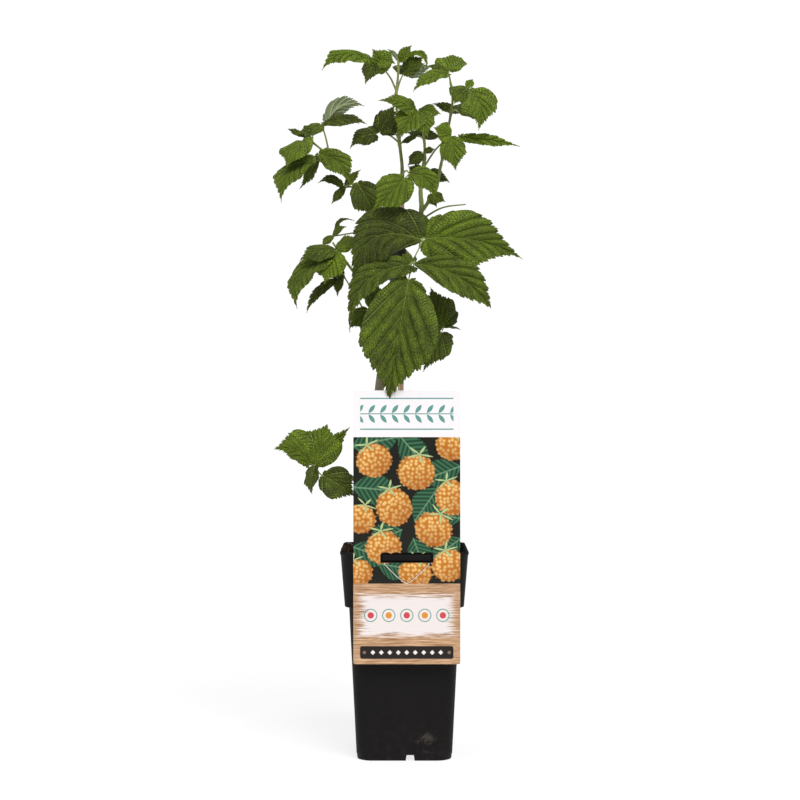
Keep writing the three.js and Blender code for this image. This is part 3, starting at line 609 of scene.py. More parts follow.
def leaf_network(node, place):
    """Marks over a leaf, from 0 to 1: midrib, side veins, the valleys they lie in and the crests between, the
    ladder of small veins, the quilted cells, lighter patches, and how deep the relief is.

    The blade attribute holds the side veins' phase, the way out along them from the midrib and the gap
    between them. A side vein lies where the phase is whole, so its distance is the phase's gap times that.
    """
    phase, way, gap = node("SeparateXYZ", node("Attribute blade").outputs["Vector"]).outputs
    phase_gap = node("Math PINGPONG", phase, 0.5)
    vein_gap = node("Math MULTIPLY", phase_gap, gap)
    sway = node("TexNoise", Vector=place, Scale=per(7), Detail=1.0)
    swayed = node("Math MULTIPLY_ADD", sway, LADDER_SWAY, way)
    ladder_gap = node("Math PINGPONG", swayed, LADDER_PITCH / 2)
    cells = node("TexVoronoi DISTANCE_TO_EDGE", Vector=place, Scale=per(CELL_SIZE))
    return SimpleNamespace(
        rib=node("MapRange SMOOTHSTEP", way, 0.4, 1.3, 1.0, 0.0),
        vein=node("MapRange SMOOTHSTEP", vein_gap, 0.1, 0.6, 1.0, 0.0),
        valley=node("MapRange SMOOTHSTEP", phase_gap, 0.0, 0.11, 1.0, 0.0),
        crest=node("MapRange SMOOTHSTEP", phase_gap, 0.2, 0.45, 0.0, 1.0),
        ladder=node("MapRange SMOOTHSTEP", ladder_gap, 0.1, 0.6, 1.0, 0.0),
        cells=node("MapRange SMOOTHSTEP", cells, 0.0, 0.25, 0.0, 1.0),
        patches=node("TexNoise", Vector=place, Scale=per(11), Detail=3.0),
        relief=node("MapRange", gap, 3.0, 8.0, 0.35, 1.0),
    )


def leaf_upper_face():
    """Raspberry leaf, upper face: a waxy dull-green skin, quilted between sunken veins, so the light breaks
    into soft glints on the pillows and dark lines in the valleys. The colour adds to that: painted shade in
    the valleys and along the small veins, and painted highlights on the crests and in the middles of the
    quilted cells."""
    node, place, finish = start_material("raspberry leaf, upper face", Specular_IOR_Level=0.22)
    net = leaf_network(node, place)
    # Tone and shade: the leaf's own green, lighter for young leaves, with painted shade for leaves in shadow,
    # plus random lighter and darker patches.
    tone = node("Attribute tone").outputs["Fac"]
    patch = node("Math MULTIPLY_ADD", net.patches, 1.2, -0.65)
    lightness = node("Math ADD", tone, patch)
    ground = node("Mix RGBA", lightness, "#3b4415", "#677d19")
    # Painted shade: the valleys that the side veins lie in are darkened, less on small leaves.
    deep = node("Math MULTIPLY", net.relief, 0.75)
    shade = node("Math MULTIPLY", net.valley, deep)
    valley_shaded = node("Mix RGBA", shade, ground, "#1a2405")
    # Painted light and shade, which scales the colour: highlights in the middles of the quilted cells and on
    # the crests between side veins, and shade along the grooves of the small veins.
    cell_highlight = node("Math MULTIPLY_ADD", net.cells, 1.05, -0.43)
    cell_and_crest_highlight = node("Math MULTIPLY_ADD", net.crest, 0.2, cell_highlight)
    highlight_and_shade = node("Math MULTIPLY_ADD", net.ladder, -0.45, cell_and_crest_highlight)
    lit = node("Math MULTIPLY_ADD", highlight_and_shade, net.relief, 1.1)
    painted_quilt_light = node("VectorMath SCALE", valley_shaded, lit)
    side_line = node("Math MULTIPLY", net.vein, deep)
    rib_line = node("Math MULTIPLY", net.rib, 0.6)
    pale = node("Math MAXIMUM", side_line, rib_line)
    colour = node("Mix RGBA", pale, painted_quilt_light, "#8a9a44")
    quilt = node("Math MULTIPLY", net.cells, 0.5)
    laddered = node("Math MULTIPLY_ADD", net.ladder, -0.6, quilt)
    veined = node("Math MULTIPLY_ADD", net.vein, -0.3, laddered)
    height = node("Math MULTIPLY_ADD", net.rib, -0.5, veined)
    bump = node("Bump", Height=height, Distance=MM, Strength=0.9)
    rough = node("MapRange", net.patches, 0.0, 1.0, 0.42, 0.6)
    return finish(Base_Color=colour, Roughness=rough, Normal=bump)


def leaf_under_face():
    """Raspberry leaf, under face: felted with short pale hairs, so it is grey-green and quite matt, with
    the veins standing up from it."""
    node, place, finish = start_material(
        "raspberry leaf, downy under face", Specular_IOR_Level=0.2, Sheen_Weight=0.25, Sheen_Roughness=0.6,
        Roughness=0.8)
    net = leaf_network(node, place)
    ground = node("Mix RGBA", net.patches, "#707d54", "#909c76")
    lines = node("Math MAXIMUM", net.vein, net.rib)
    pale = node("Math MULTIPLY", lines, 0.6)
    colour = node("Mix RGBA", pale, ground, "#b4bd92")
    quilt = node("Math MULTIPLY", net.cells, -0.15)
    veined = node("Math MULTIPLY_ADD", net.vein, 0.4, quilt)
    height = node("Math MULTIPLY_ADD", net.rib, 0.5, veined)
    bump = node("Bump", Height=height, Distance=MM, Strength=0.8)
    return finish(Base_Color=colour, Normal=bump)


def green_stem():
    """Raspberry stem of this year: green, downy and faintly ribbed, flushed brown in streaks that run up it,
    so it shines only a little along its edges."""
    node, place, finish = start_material(
        "raspberry stem, green and downy", Specular_IOR_Level=0.3, Sheen_Weight=0.2, Sheen_Roughness=0.5,
        Roughness=0.6)
    upward = node("Mapping", Vector=place, Scale=(1.0, 1.0, 0.12))
    streaks = node("TexNoise", Vector=upward, Scale=per(2.2), Detail=4.0)
    flush = node("TexNoise", Vector=place, Scale=per(26), Detail=2.0)
    green = node("Mix RGBA", streaks, "#66742f", "#97a35e")
    browned = node("MapRange SMOOTHSTEP", flush, 0.52, 0.75, 0.0, 0.6)
    colour = node("Mix RGBA", browned, green, "#75604a")
    bump = node("Bump", Height=streaks, Distance=0.4 * MM, Strength=0.6)
    return finish(Base_Color=colour, Normal=bump)


def cane_bark():
    """Two-year raspberry cane: thin grey-brown bark that splits and peels in long strips, dull all over."""
    node, place, finish = start_material(
        "raspberry cane, peeling bark", Specular_IOR_Level=0.25, Roughness=0.8)
    upward = node("Mapping", Vector=place, Scale=(1.0, 1.0, 0.06))
    strips = node("TexNoise", Vector=upward, Scale=per(1.8), Detail=6.0, Roughness=0.65)
    blotch = node("TexNoise", Vector=place, Scale=per(14), Detail=3.0)
    grain = node("Mix RGBA", strips, "#6a5a4a", "#b9b29c")
    colour = node("Mix RGBA", blotch, grain, "#7d7a62")
    bump = node("Bump", Height=strips, Distance=0.8 * MM, Strength=0.8)
    return finish(Base_Color=colour, Normal=bump)


def cut_cane():
    """The cane's sawn end: pale wood round a brown pith, dry and matt."""
    node, place, finish = start_material("raspberry cane, sawn end", Specular_IOR_Level=0.2, Roughness=0.85)
    fibres = node("TexNoise", Vector=place, Scale=per(0.9), Detail=4.0)
    return finish(Base_Color=node("Mix RGBA", fibres, "#8a6f52", "#cdb791"))


def bamboo():
    """Split-dry bamboo cane: a tan skin with fine lengthwise streaks, slightly glossy where it isn't worn."""
    node, place, finish = start_material("bamboo cane, dried", Specular_IOR_Level=0.4)
    upward = node("Mapping", Vector=place, Scale=(1.0, 1.0, 0.02))
    streaks = node("TexNoise", Vector=upward, Scale=per(1.2), Detail=5.0)
    stains = node("TexNoise", Vector=place, Scale=per(22), Detail=3.0)
    skin = node("Mix RGBA", streaks, "#b98f70", "#e6c5a6")
    stained = node("MapRange SMOOTHSTEP", stains, 0.5, 0.8, 0.0, 0.6)
    colour = node("Mix RGBA", stained, skin, "#8d6549")
    rough = node("MapRange", stains, 0.0, 1.0, 0.4, 0.65)
    bump = node("Bump", Height=streaks, Distance=0.2 * MM, Strength=0.5)
    return finish(Base_Color=colour, Roughness=rough, Normal=bump)


def tie_plastic():
    """Soft dark PVC garden tie: extruded, with fine lengthwise marks and a dull shine."""
    node, place, finish = start_material("PVC garden tie, extruded", Specular_IOR_Level=0.4, Roughness=0.5)
    around = node("Mapping", Vector=place, Scale=(0.1, 0.1, 1.0))
    marks = node("TexNoise", Vector=around, Scale=per(0.8), Detail=3.0)
    bump = node("Bump", Height=marks, Distance=0.15 * MM, Strength=0.5)
    return finish(Base_Color=node("Mix RGBA", marks, "#1b1512", "#33261f"), Normal=bump)


def peat_compost():
    """Peat potting compost: dark, damp and crumbly, with brown fibres, and no shine but on wet crumbs."""
    node, place, finish = start_material("peat compost, damp", Specular_IOR_Level=0.25, Roughness=0.9)
    clods = node("TexVoronoi", Vector=place, Scale=per(2.5))
    fibres = node("TexNoise", Vector=place, Scale=per(3), Detail=8.0, Roughness=0.7)
    bump = node("Bump", Height=node("Math ADD", clods, fibres), Distance=1.2 * MM, Strength=0.9)
    return finish(Base_Color=node("Mix RGBA", fibres, "#120d0a", "#4a3526"), Normal=bump)


def bark_crumb():
    """Composted bark chips: brown, fibrous along their length and dry at the corners."""
    node, place, finish = start_material("bark chip, composted", Specular_IOR_Level=0.2, Roughness=0.9)
    fibres = node("TexNoise", Vector=place, Scale=per(2), Detail=6.0, Roughness=0.7)
    bump = node("Bump", Height=fibres, Distance=0.6 * MM, Strength=0.8)
    return finish(Base_Color=node("Mix RGBA", fibres, "#1d140e", "#5a412f"), Normal=bump)


def perlite():
    """Expanded perlite grain: white volcanic foam, pitted and chalky."""
    node, place, finish = start_material("perlite grain, expanded", Specular_IOR_Level=0.2, Roughness=0.95)
    pits = node("TexVoronoi", Vector=place, Scale=per(0.7))
    bump = node("Bump", Height=pits, Distance=0.3 * MM, Strength=0.7)
    return finish(Base_Color=node("Mix RGBA", pits, "#cfcac4", "#f1eeea"), Normal=bump)


def pot_plastic():
    """Recycled black polypropylene, blow-moulded: almost black, satin, with flow marks up the wall, dust that
    settles low down, and scuffs that have gone pale."""
    node, place, finish = start_material("recycled polypropylene, moulded", Specular_IOR_Level=0.14)
    upward = node("Mapping", Vector=place, Scale=(1.0, 1.0, 0.15))
    flow = node("TexNoise", Vector=upward, Scale=per(12), Detail=5.0)
    dust = node("TexNoise", Vector=place, Scale=per(7), Detail=6.0, Roughness=0.65)
    grain = node("TexNoise", Vector=place, Scale=per(1.2), Detail=2.0)
    height = node("SeparateXYZ", place).outputs["Z"]
    low = node("MapRange SMOOTHSTEP", height, 0.0, 55 * MM, 0.12, 0.03)
    to_smear = node("VectorMath DISTANCE", place, SMEAR)
    smeared = node("MapRange SMOOTHSTEP", to_smear, 3 * MM, 15 * MM, 1.0, 0.0)
    marked = node("Math MAXIMUM", low, smeared)
    dusty = node("MapRange SMOOTHSTEP", dust, 0.45, 0.7, 0.0, 0.55)
    smudge = node("Math MULTIPLY", marked, dusty)
    black = node("Mix RGBA", flow, "#0b0909", "#141111")
    colour = node("Mix RGBA", smudge, black, "#5a544e")
    rough = node("MapRange", flow, 0.0, 1.0, 0.5, 0.68)
    bump = node("Bump", Height=grain, Distance=0.12 * MM, Strength=0.5)
    return finish(Base_Color=colour, Roughness=rough, Normal=bump)


def blade_outline(u, fullness):
    """Half breadth along the midrib over the widest: a half wave of u raised to a power. The power is small
    below the middle, which makes full shoulders, and large above it, which draws the tip out. A low fullness
    makes the base more of a wedge."""
    heart = HEART_DEPTH * min(1.5 * fullness, 1)
    whole = np.clip((u + heart) / (1 + heart), 0, 1) ** (1.1 - 0.35 * fullness)
    shoulder = max(0.75 - 0.4 * fullness, 0.3)
    tip = 1.2 + 1.8 * min(fullness, 0.45)
    above = np.clip((u - 0.45 + 0.15 * max(fullness - 0.6, 0)) / 0.3, 0, 1)
    power = shoulder + (tip - shoulder) * above**2 * (3 - 2 * above)
    return np.sin(np.pi * whole) ** power


def tooth(phase):
    """A leaning saw tooth: a straight climb to its peak and a shorter straight fall."""
    share = phase - np.floor(phase)
    return np.minimum(share / TOOTH_PEAK, (1 - share) / (1 - TOOTH_PEAK))


def vein_lengths(start, angle, width, fullness):
    """How far each side vein runs before it meets the outline: the first of many probes along it that is
    outside, moved back to where the gap is zero."""
    probe = np.linspace(0, 1, OUTLINE_PROBES)[None]
    gap = probe * np.sin(angle) - width * blade_outline(start + probe * np.cos(angle), fullness)
    outside = np.maximum(np.argmax(gap > 0, axis=1), 1)[:, None]
    far = np.take_along_axis(gap, outside, 1)
    near = np.take_along_axis(gap, outside - 1, 1)
    return (outside - far / np.maximum(far - near, 1e-9)) / (OUTLINE_PROBES - 1)


def leaflet(base, tip, face, shape, fullness, tone, chance):
    """One leaflet as a thin closed sheet on a grid of phase, base to tip, and v, edge to edge.

    Every row of the grid runs out along a side vein's direction: the first rows fan out from the base and
    the others leave the midrib further and further up, leaning to the tip, and each ends at the outline. The
    midrib is the line from base to tip bowed by 4u(1 - u). The surface rises in pillows between whole phases
    by |sin(pi phase)|, folds up along the midrib, curls down and waves at its edges, and droops at its tip
    by u cubed. The margin is pushed out by a saw tooth of the phase. The under face is the upper one moved
    in along its normals.
    """
    along = tip - base
    length = np.linalg.norm(along)
    along = along / length
    outward = unit(face - along * face.dot(along))
    sideways = np.cross(along, outward)
    bow = outward * shape.arch + sideways * shape.bend
    large = int(length > LARGE_BLADE)
    veins = FEWEST_VEINS + sum(int(length > step) for step in VEIN_STEPS)
    teeth = 2 + large
    rows = veins * teeth * ROWS_PER_TOOTH + 1
    columns = 13 + 6 * large

    row_phase = np.linspace(0, veins, rows)[:, None]
    share = row_phase / veins
    start = np.clip((share - FAN_SHARE) / (1 - FAN_SHARE), 0, 1)
    angle = np.radians(np.interp(share, (0, FAN_SHARE, 1), FAN_ANGLES))
    v = np.linspace(-1, 1, columns)[None]
    side = np.where(v < 0, 0, 1)
    out = np.abs(v)
    phase = row_phase + VEIN_OFFSET * side

    vein_gap = length * (1 - FAN_SHARE) / veins
    ends = np.clip(share / 0.08, 0, 1) * np.clip((1 - share) / 0.1, 0, 1)
    tooth_order = np.floor(teeth * phase).astype(int)
    tooth_size = chance.uniform(*TOOTH_SIZES, (2, TOOTH_DRAWS))[side, tooth_order % TOOTH_DRAWS]
    bite = vein_gap * (TOOTH_DEPTH / teeth * tooth_size * tooth(teeth * phase)
                       + LOBE_DEPTH * (tooth(phase) - 0.5)) * ends
    halves = zip(np.broadcast_to(shape.width, 2), np.broadcast_to(fullness, 2))
    runs = [vein_lengths(start, angle, half_width, half_full) for half_width, half_full in halves]
    run = np.maximum(np.where(v < 0, *runs) * length, TIP_HALF_WIDTH)
    way = out * run + out**7 * bite
    u = start + way * np.cos(angle) / length
    breadth = np.sign(v) * way * np.sin(angle)

    step = veins / (rows - 1)
    pitch = np.abs(np.gradient(u * length, axis=0) * np.sin(angle)
                   - np.gradient(np.abs(breadth), axis=0) * np.cos(angle)) / step
    pillow = np.abs(np.sin(np.pi * phase)) ** 0.6 * np.clip(4 * out, 0, 1) * (1 - 0.35 * out**2)
    waves = chance.uniform(0, CIRCLE, 2)[side] + CIRCLE * chance.uniform(1.2, 2.2) * u
    curl = CURL * chance.uniform(0.5, 1.4)
    half = run * np.sin(angle)
    lift = (half * (FOLD * out - curl * out**2 + EDGE_WAVE * out**3 * np.sin(waves))
            + QUILT_HEIGHT * np.minimum(pitch, vein_gap) * pillow * ends
            - TIP_DROOP * length * np.maximum(u, 0)**3)
    twist = chance.normal(0, TWIST) * u[..., None]

    turn = 4 * (1 - 2 * u)[..., None]
    tangent = unit(along + bow * turn)
    flat_across = unit(sideways - along * shape.bend * turn)
    flat_normal = np.cross(flat_across, tangent)
    across = flat_across * np.cos(twist) + flat_normal * np.sin(twist)
    normal = flat_normal * np.cos(twist) - flat_across * np.sin(twist)
    midrib = base + along * length * u[..., None] + bow * length * (4 * u * (1 - u))[..., None]
    upper = midrib + across * breadth[..., None] + normal * lift[..., None]

    skin = unit(np.cross(np.gradient(upper, axis=1), np.gradient(upper, axis=0)) + 1e-6 * normal)
    under = upper - BLADE_THICKNESS * skin
    count = rows * columns
    top = grid_faces(rows, columns)
    ring = np.arange(count).reshape(rows, columns)
    edge = np.concatenate([ring[:-1, -1], ring[-1, :0:-1], ring[:0:-1, 0], ring[0, :-1]])
    next_edge = np.roll(edge, -1)
    rim = np.stack([edge, edge + count, next_edge + count, next_edge], -1)
    blade = np.stack([phase, way, pitch], -1).reshape(-1, 3)
    sheet = Part(np.concatenate([upper.reshape(-1, 3), under.reshape(-1, 3)]),
                 [top, top[:, ::-1] + count, rim], [0, 1, 0], np.concatenate([blade, blade]), tone)
    rising = np.flatnonzero(share[:, 0] > FAN_SHARE)[::ROWS_PER_TOOTH]
    spine = (upper - RIB_DEPTH * normal)[rising, columns // 2]
    return sheet, spine, length


def stalk(start, ends, via=None, finish=0):
    """A leaf stalk: a thin rod that rises a little on the way to its ends, or goes round by a point."""
    rise = STALK_RISE * np.linalg.norm(ends[0] - start) * UP
    middle = (start + ends[0]) / 2 + rise if via is None else np.array(via, float)
    path = spline([start, middle, *ends], STALK_STEPS)
    radii = np.linspace(*STALK_RADIUS, len(path))
    return carry(round_section(STALK_SIDES), path, radii, finishes=[finish] * 3)


def leaf(plan, paths, chance):
    """A whole leaf: its stalk from the stem to the hubs, its leaflets, and the midribs under them."""
    hubs = [np.array(hub, float) for hub in plan.hubs]
    parts = [stalk(at_height(paths[plan.stem], plan.height), hubs, plan.via, finish=2)]
    bare_share, fullness = TERMINAL_STALK, TERMINAL_FULLNESS
    for shape in plan.blades:
        hub = hubs[shape.hub]
        tip = np.array(shape.tip, float)
        base = hub + (tip - hub) * bare_share
        face = np.array(shape.face or plan.face, float)
        full = fullness if shape.full is None else shape.full
        tone = plan.tone if shape.tone is None else shape.tone
        sheet, spine, length = leaflet(base, tip, face, shape, full, tone, chance)
        thick = np.clip(length / 70, 0.45, 1) * np.linspace(0.8, 0.15, len(spine) + 1)
        rib = np.concatenate([hub[None], spine])
        parts += [sheet, carry(round_section(RIB_SIDES), rib, thick, finishes=(2, 2, 2))]
        bare_share, fullness = LATERAL_STALK, LATERAL_FULLNESS
    return parts


def prickles(path, radii, count, chance):
    """Fine prickles: four-sided spikes that stand out of a stem at random places and lean down it."""
    place = chance.uniform(0.04, 0.97, count) * (len(path) - 1)
    angle = chance.uniform(0, CIRCLE, count)
    steps = np.arange(len(path))
    centre = np.stack([np.interp(place, steps, path[:, axis]) for axis in range(3)], -1)
    radius = np.interp(place, steps, radii)
    tangent = unit(np.stack([np.interp(place, steps, np.gradient(path[:, axis])) for axis in range(3)], -1))
    side = unit(np.cross(tangent, (0, 1, 0)))
    rise = np.cross(tangent, side)
    outward = side * np.cos(angle)[:, None] + rise * np.sin(angle)[:, None]
    around = np.cross(outward, tangent)
    foot = centre + outward * (0.9 * radius)[:, None]
    size = chance.uniform(*PRICKLE_LENGTH, count)[:, None]
    apex = foot + outward * size - tangent * PRICKLE_LEAN * size
    corners = [foot + PRICKLE_RADIUS * step for step in (tangent, around, -tangent, -around)]
    points = np.stack([*corners, apex], 1)
    first = 5 * np.arange(count)[:, None]
    spikes = np.concatenate([first + np.array(face) for face in ((0, 1, 4), (1, 2, 4), (2, 3, 4), (3, 0, 4))])
    return Part(points.reshape(-1, 3), [spikes, first + np.array((3, 2, 1, 0))], [0, 0])


def stem(name, path, chance, finishes=(0, 0, 0)):
    """A stem: a circle carried up its curve, tapering, with a swelling wherever a stalk leaves it."""
    height = path[:, 2]
    joints = [plan.height for plan in LEAVES.values() if plan.stem == name]
    swelling = sum(np.exp(-((height - joint) / NODE_REACH) ** 2) for joint in joints)
    radii = np.linspace(*STEMS[name].radius, len(path))
    radii = radii * (1 + NODE_SWELLING * np.minimum(swelling, 1)) * (1 + 0.03 * np.sin(0.9 * height))
    length = np.linalg.norm(np.diff(path, axis=0), axis=1).sum()
    rod = carry(round_section(STEM_SIDES), path, radii, finishes=finishes)
    return [rod, prickles(path, radii, int(length * PRICKLES_PER_MM), chance)]


def rounded_square(half):
    """A square with rounded corners, anticlockwise, for one half width or a column of them."""
    half = np.asarray(half, float)[..., None]
    turn = np.linspace(0, QUARTER, CORNER_STEPS)
    angle = (turn[None] + QUARTER * np.arange(4)[:, None]).ravel()
    corner = np.repeat(np.pi / 4 + QUARTER * np.arange(4), CORNER_STEPS)
    radius = np.minimum(POT_CORNER, half)
    x = np.sign(np.cos(corner)) * (half - radius) + radius * np.cos(angle)
    y = np.sign(np.sin(corner)) * (half - radius) + radius * np.sin(angle)
    return np.stack([x, y], -1)


def lathe_square(halves, heights):
    """A profile of half widths and heights carried round a rounded square, closed at both ends."""
    outline = rounded_square(halves)
    rows, columns = outline.shape[:2]
    high = np.broadcast_to(np.asarray(heights, float)[:, None, None], (rows, columns, 1))
    points = np.concatenate([outline, high], -1).reshape(-1, 3)
    return Part(points, tube_faces(rows, columns), [0, 0, 0])


def pot_parts():
    """The pot: its profile, up the outside, over the lip and down the inside, carried round a rounded square,
    and the lug on its front."""
    foot = POT_BASE - FOOT_WIDTH
    lip = POT_HEIGHT - POT_LIP
    ledge = POT_STEP + POT_WALL
    collar_inside = POT_COLLAR - POT_WALL
    shoulder_inside = POT_SHOULDER - POT_WALL
    rim_inside = POT_RIM - POT_WALL
    profile = [
        (foot - 0.6, FOOT_HEIGHT), (foot, 0.6), (foot + 0.6, 0), (POT_BASE - 1.6, 0), (POT_BASE - 0.5, 0.5),
        (POT_BASE + 0.06, 1.8), (POT_BASE + 0.2, 5), (POT_BASE + 0.7, 5.6), (POT_BASE + 0.82, 8),
        (POT_SHOULDER - 0.1, POT_STEP - 1.5), (POT_SHOULDER + 0.2, POT_STEP - 0.3),
        (POT_SHOULDER + 0.8, POT_STEP), (POT_COLLAR - 0.6, POT_STEP), (POT_COLLAR - 0.1, POT_STEP + 0.4),
        (POT_COLLAR + 0.1, POT_STEP + 1.4), (POT_RIM - 0.6, lip - 0.4), (POT_RIM - 0.3, lip),
        (POT_RIM, lip + 0.4), (POT_RIM, POT_HEIGHT - 0.6), (POT_RIM - 0.4, POT_HEIGHT),
        (rim_inside + 0.4, POT_HEIGHT), (rim_inside, POT_HEIGHT - 0.6), (collar_inside + 0.3, ledge + 0.6),
        (collar_inside - 0.4, ledge), (shoulder_inside + 0.4, ledge), (shoulder_inside, POT_STEP + 1),
        (POT_BASE - POT_WALL, POT_FLOOR),
    ]
    halves, heights = np.array(profile).T
    lug_length = 2 * LUG_HALF_LENGTH
    lug_steps = np.array([0, 0.8, 1.6, lug_length - 1.6, lug_length - 0.8, lug_length])
    lug_scales = np.array([0.7, 0.93, 1, 1, 0.93, 0.7])
    lug_back = -rim_inside
    lug_line = np.stack([CARD_MIDDLE - LUG_HALF_LENGTH + lug_steps, np.full(6, (LUG_FRONT + lug_back) / 2),
                         np.full(6, LUG_MIDDLE)], -1)
    lug = carry(box_section(LUG_HALF_HEIGHT, (lug_back - LUG_FRONT) / 2, 24, 7), lug_line, lug_scales)
    return [lathe_square(halves, heights), lug]


def cut_notches(pot):
    """Cuts the drain notches: a wedge through the foot of each side, taken out of it by a boolean."""
    low, high = NOTCH_HALF_WIDTHS
    below, near, far = -2, POT_BASE - FOOT_WIDTH - 4, POT_BASE + 5
    section = [(NOTCH_OFFSET - low, below), (NOTCH_OFFSET + low, below),
               (NOTCH_OFFSET + high, NOTCH_TOP), (NOTCH_OFFSET - high, NOTCH_TOP)]
    box_faces = [(3, 2, 1, 0), (4, 5, 6, 7), (0, 1, 5, 4), (1, 2, 6, 5), (2, 3, 7, 6), (3, 0, 4, 7)]
    corners = np.array([(x, y, z) for y in (-near, -far) for x, z in section]) * MM
    turns = [np.array([(np.cos(a), -np.sin(a), 0), (np.sin(a), np.cos(a), 0), (0, 0, 1)])
             for a in QUARTER * np.arange(4)]
    points = np.concatenate([corners @ turn.T for turn in turns])
    faces = [tuple(8 * side + corner for corner in face) for side in range(4) for face in box_faces]
    mesh = bpy.data.meshes.new("notch_wedges")
    mesh.from_pydata(points.tolist(), [], faces)
    wedges = new_object("notch_wedges", mesh)
    cut = pot.modifiers.new("notches", "BOOLEAN")
    cut.object = wedges
    cut.solver = "EXACT"
    bpy.context.view_layer.update()
    done = bpy.data.meshes.new_from_object(pot.evaluated_get(bpy.context.evaluated_depsgraph_get()))
    pot.modifiers.clear()
    pot.data = done
    bpy.data.objects.remove(wedges)


def compost_height(x, y):
    """Height of the compost: level, heaped by the cube of the way to the back left corner, and lumpy."""
    heap = np.clip((y - x) / (2 * POT_RIM), 0, 1) ** 3
    lumps = 1.4 * np.sin(0.31 * x + 1) * np.cos(0.27 * y - 0.5)
    clods = 0.9 * np.sin(0.83 * x + 0.4 * y) * np.sin(0.7 * y - 0.5 * x + 2) + 0.5 * np.sin(1.9 * x + 1.1 * y)
    return COMPOST_TOP + COMPOST_HEAP * heap + lumps + clods


def compost_surface():
    """The compost: straight walls and a lumpy top, on rounded squares that shrink to the middle."""
    inside = POT_RIM - POT_WALL - 1.1
    shares = np.linspace(1, 0.02, 44)
    outline = rounded_square(np.full(1, inside))[0]
    columns = len(outline)
    top = shares[:, None, None] * outline
    high = compost_height(top[..., 0], top[..., 1])[..., None]
    wall = np.broadcast_to(outline * (POT_COLLAR - POT_WALL - 0.4) / inside, (1, columns, 2))
    low = np.full((1, columns, 1), POT_STEP + POT_WALL + 0.4)
    points = np.concatenate([np.concatenate([wall, low], -1), np.concatenate([top, high], -1)])
    return Part(points.reshape(-1, 3), tube_faces(len(points), columns), [0, 0, 0])


def crumbs(centres, sizes, finish, chance):
    """Rough lumps: four rings of six points on a sphere, their radius jittered, stretched and turned."""
    count = len(centres)
    polar = np.radians([158, 112, 66, 22])[:, None]
    around = np.linspace(0, CIRCLE, 6, endpoint=False)[None]
    level = np.cos(polar) + 0 * around
    ball = np.stack([np.sin(polar) * np.cos(around), np.sin(polar) * np.sin(around), level], -1)
    jitter = chance.uniform(0.65, 1.2, (count, 4, 6, 1))
    stretch = chance.uniform(0.5, 1.25, (count, 1, 1, 3))
    turns = np.linalg.qr(chance.normal(size=(count, 3, 3)))[0]
    turns = turns * np.linalg.det(turns)[:, None, None]
    lumps = np.einsum("nij,nabj->nabi", turns, ball * jitter * stretch)
    points = centres[:, None, None] + sizes[:, None, None, None] * lumps
    first = 24 * np.arange(count)[:, None, None]
    sides = (first + grid_faces(4, 6, wrap_columns=True)).reshape(-1, 4)
    ring = first[:, 0] + np.arange(6)
    return Part(points.reshape(-1, 3), [sides, ring[:, ::-1], ring + 18], [finish] * 3)


def compost_parts(chance):
    """The compost with its peat crumbs, bark chips and perlite, and the crumbs on the rim at the left."""
    spread = POT_RIM - POT_WALL - 4
    parts = [compost_surface()]
    for count, size, finish in CRUMB_LOTS:
        flat = chance.uniform(-spread, spread, (count, 2))
        sizes = chance.uniform(*size, count)
        half_sunk = compost_height(flat[:, 0], flat[:, 1]) + 0.25 * sizes
        parts.append(crumbs(np.column_stack([flat, half_sunk]), sizes, finish, chance))
    along, across, up = (chance.uniform(*ends, RIM_CRUMBS) for ends in (RIM_ALONG, RIM_ACROSS, RIM_UP))
    rim_places = np.column_stack([across, along, up])
    parts.append(crumbs(rim_places, chance.uniform(*RIM_SIZES, RIM_CRUMBS), 1, chance))
    parts.append(crumbs(np.array(PALE_CRUMBS), np.array(PALE_SIZES), 2, chance))
    return parts


def stake_at(share):
    """The point on the stake's centre line at a share of its length."""
    return np.array(STAKE_FOOT) * (1 - share) + np.array(STAKE_HEAD) * share


def stake_parts():
    """A bamboo cane: a circle carried up a straight line, with swollen nodes and a groove above each."""
    path = stake_at(np.linspace(0, 1, 420)[:, None])
    radii = np.full(len(path), STAKE_RADIUS * 0.96)
    for node_height in STAKE_NODES:
        away = path[:, 2] - node_height
        radii = radii + 0.55 * np.exp(-(away / 1.6) ** 2) - 0.3 * np.exp(-((away - 3.2) / 1.3) ** 2)
    radii[[0, -1]] *= 0.94
    return [carry(round_section(20), path, radii)]


def tie_parts(cane_path):
    """The tie: a rounded strip carried along a loop of two arcs round the stake and the cane."""
    middle = TIE_BOTTOM + TIE_HEIGHT / 2
    cane = at_height(cane_path, middle)
    stake = stake_at((middle - STAKE_FOOT[2]) / (STAKE_HEAD[2] - STAKE_FOOT[2]))
    span = (cane - stake)[:2]
    heading = np.arctan2(span[1], span[0])
    reach = TIE_SLACK + TIE_THICKNESS / 2
    near, far = STAKE_RADIUS + reach, STEMS["cane"].radius[1] + reach
    spread = np.arccos((near - far) / np.hypot(*span))
    round_stake = np.linspace(heading + spread, heading - spread + CIRCLE, 22)
    round_cane = np.linspace(heading - spread, heading + spread, 22)
    loop = np.concatenate([
        np.stack([centre[0] + radius * np.cos(angle), centre[1] + radius * np.sin(angle),
                  np.full_like(angle, middle)], -1)
        for centre, radius, angle in ((stake, near, round_stake), (cane, far, round_cane))])
    strip = box_section(TIE_THICKNESS / 2, TIE_HEIGHT / 2, 20, 5)
    return [carry(strip, loop, np.ones(len(loop)), closed=True)]


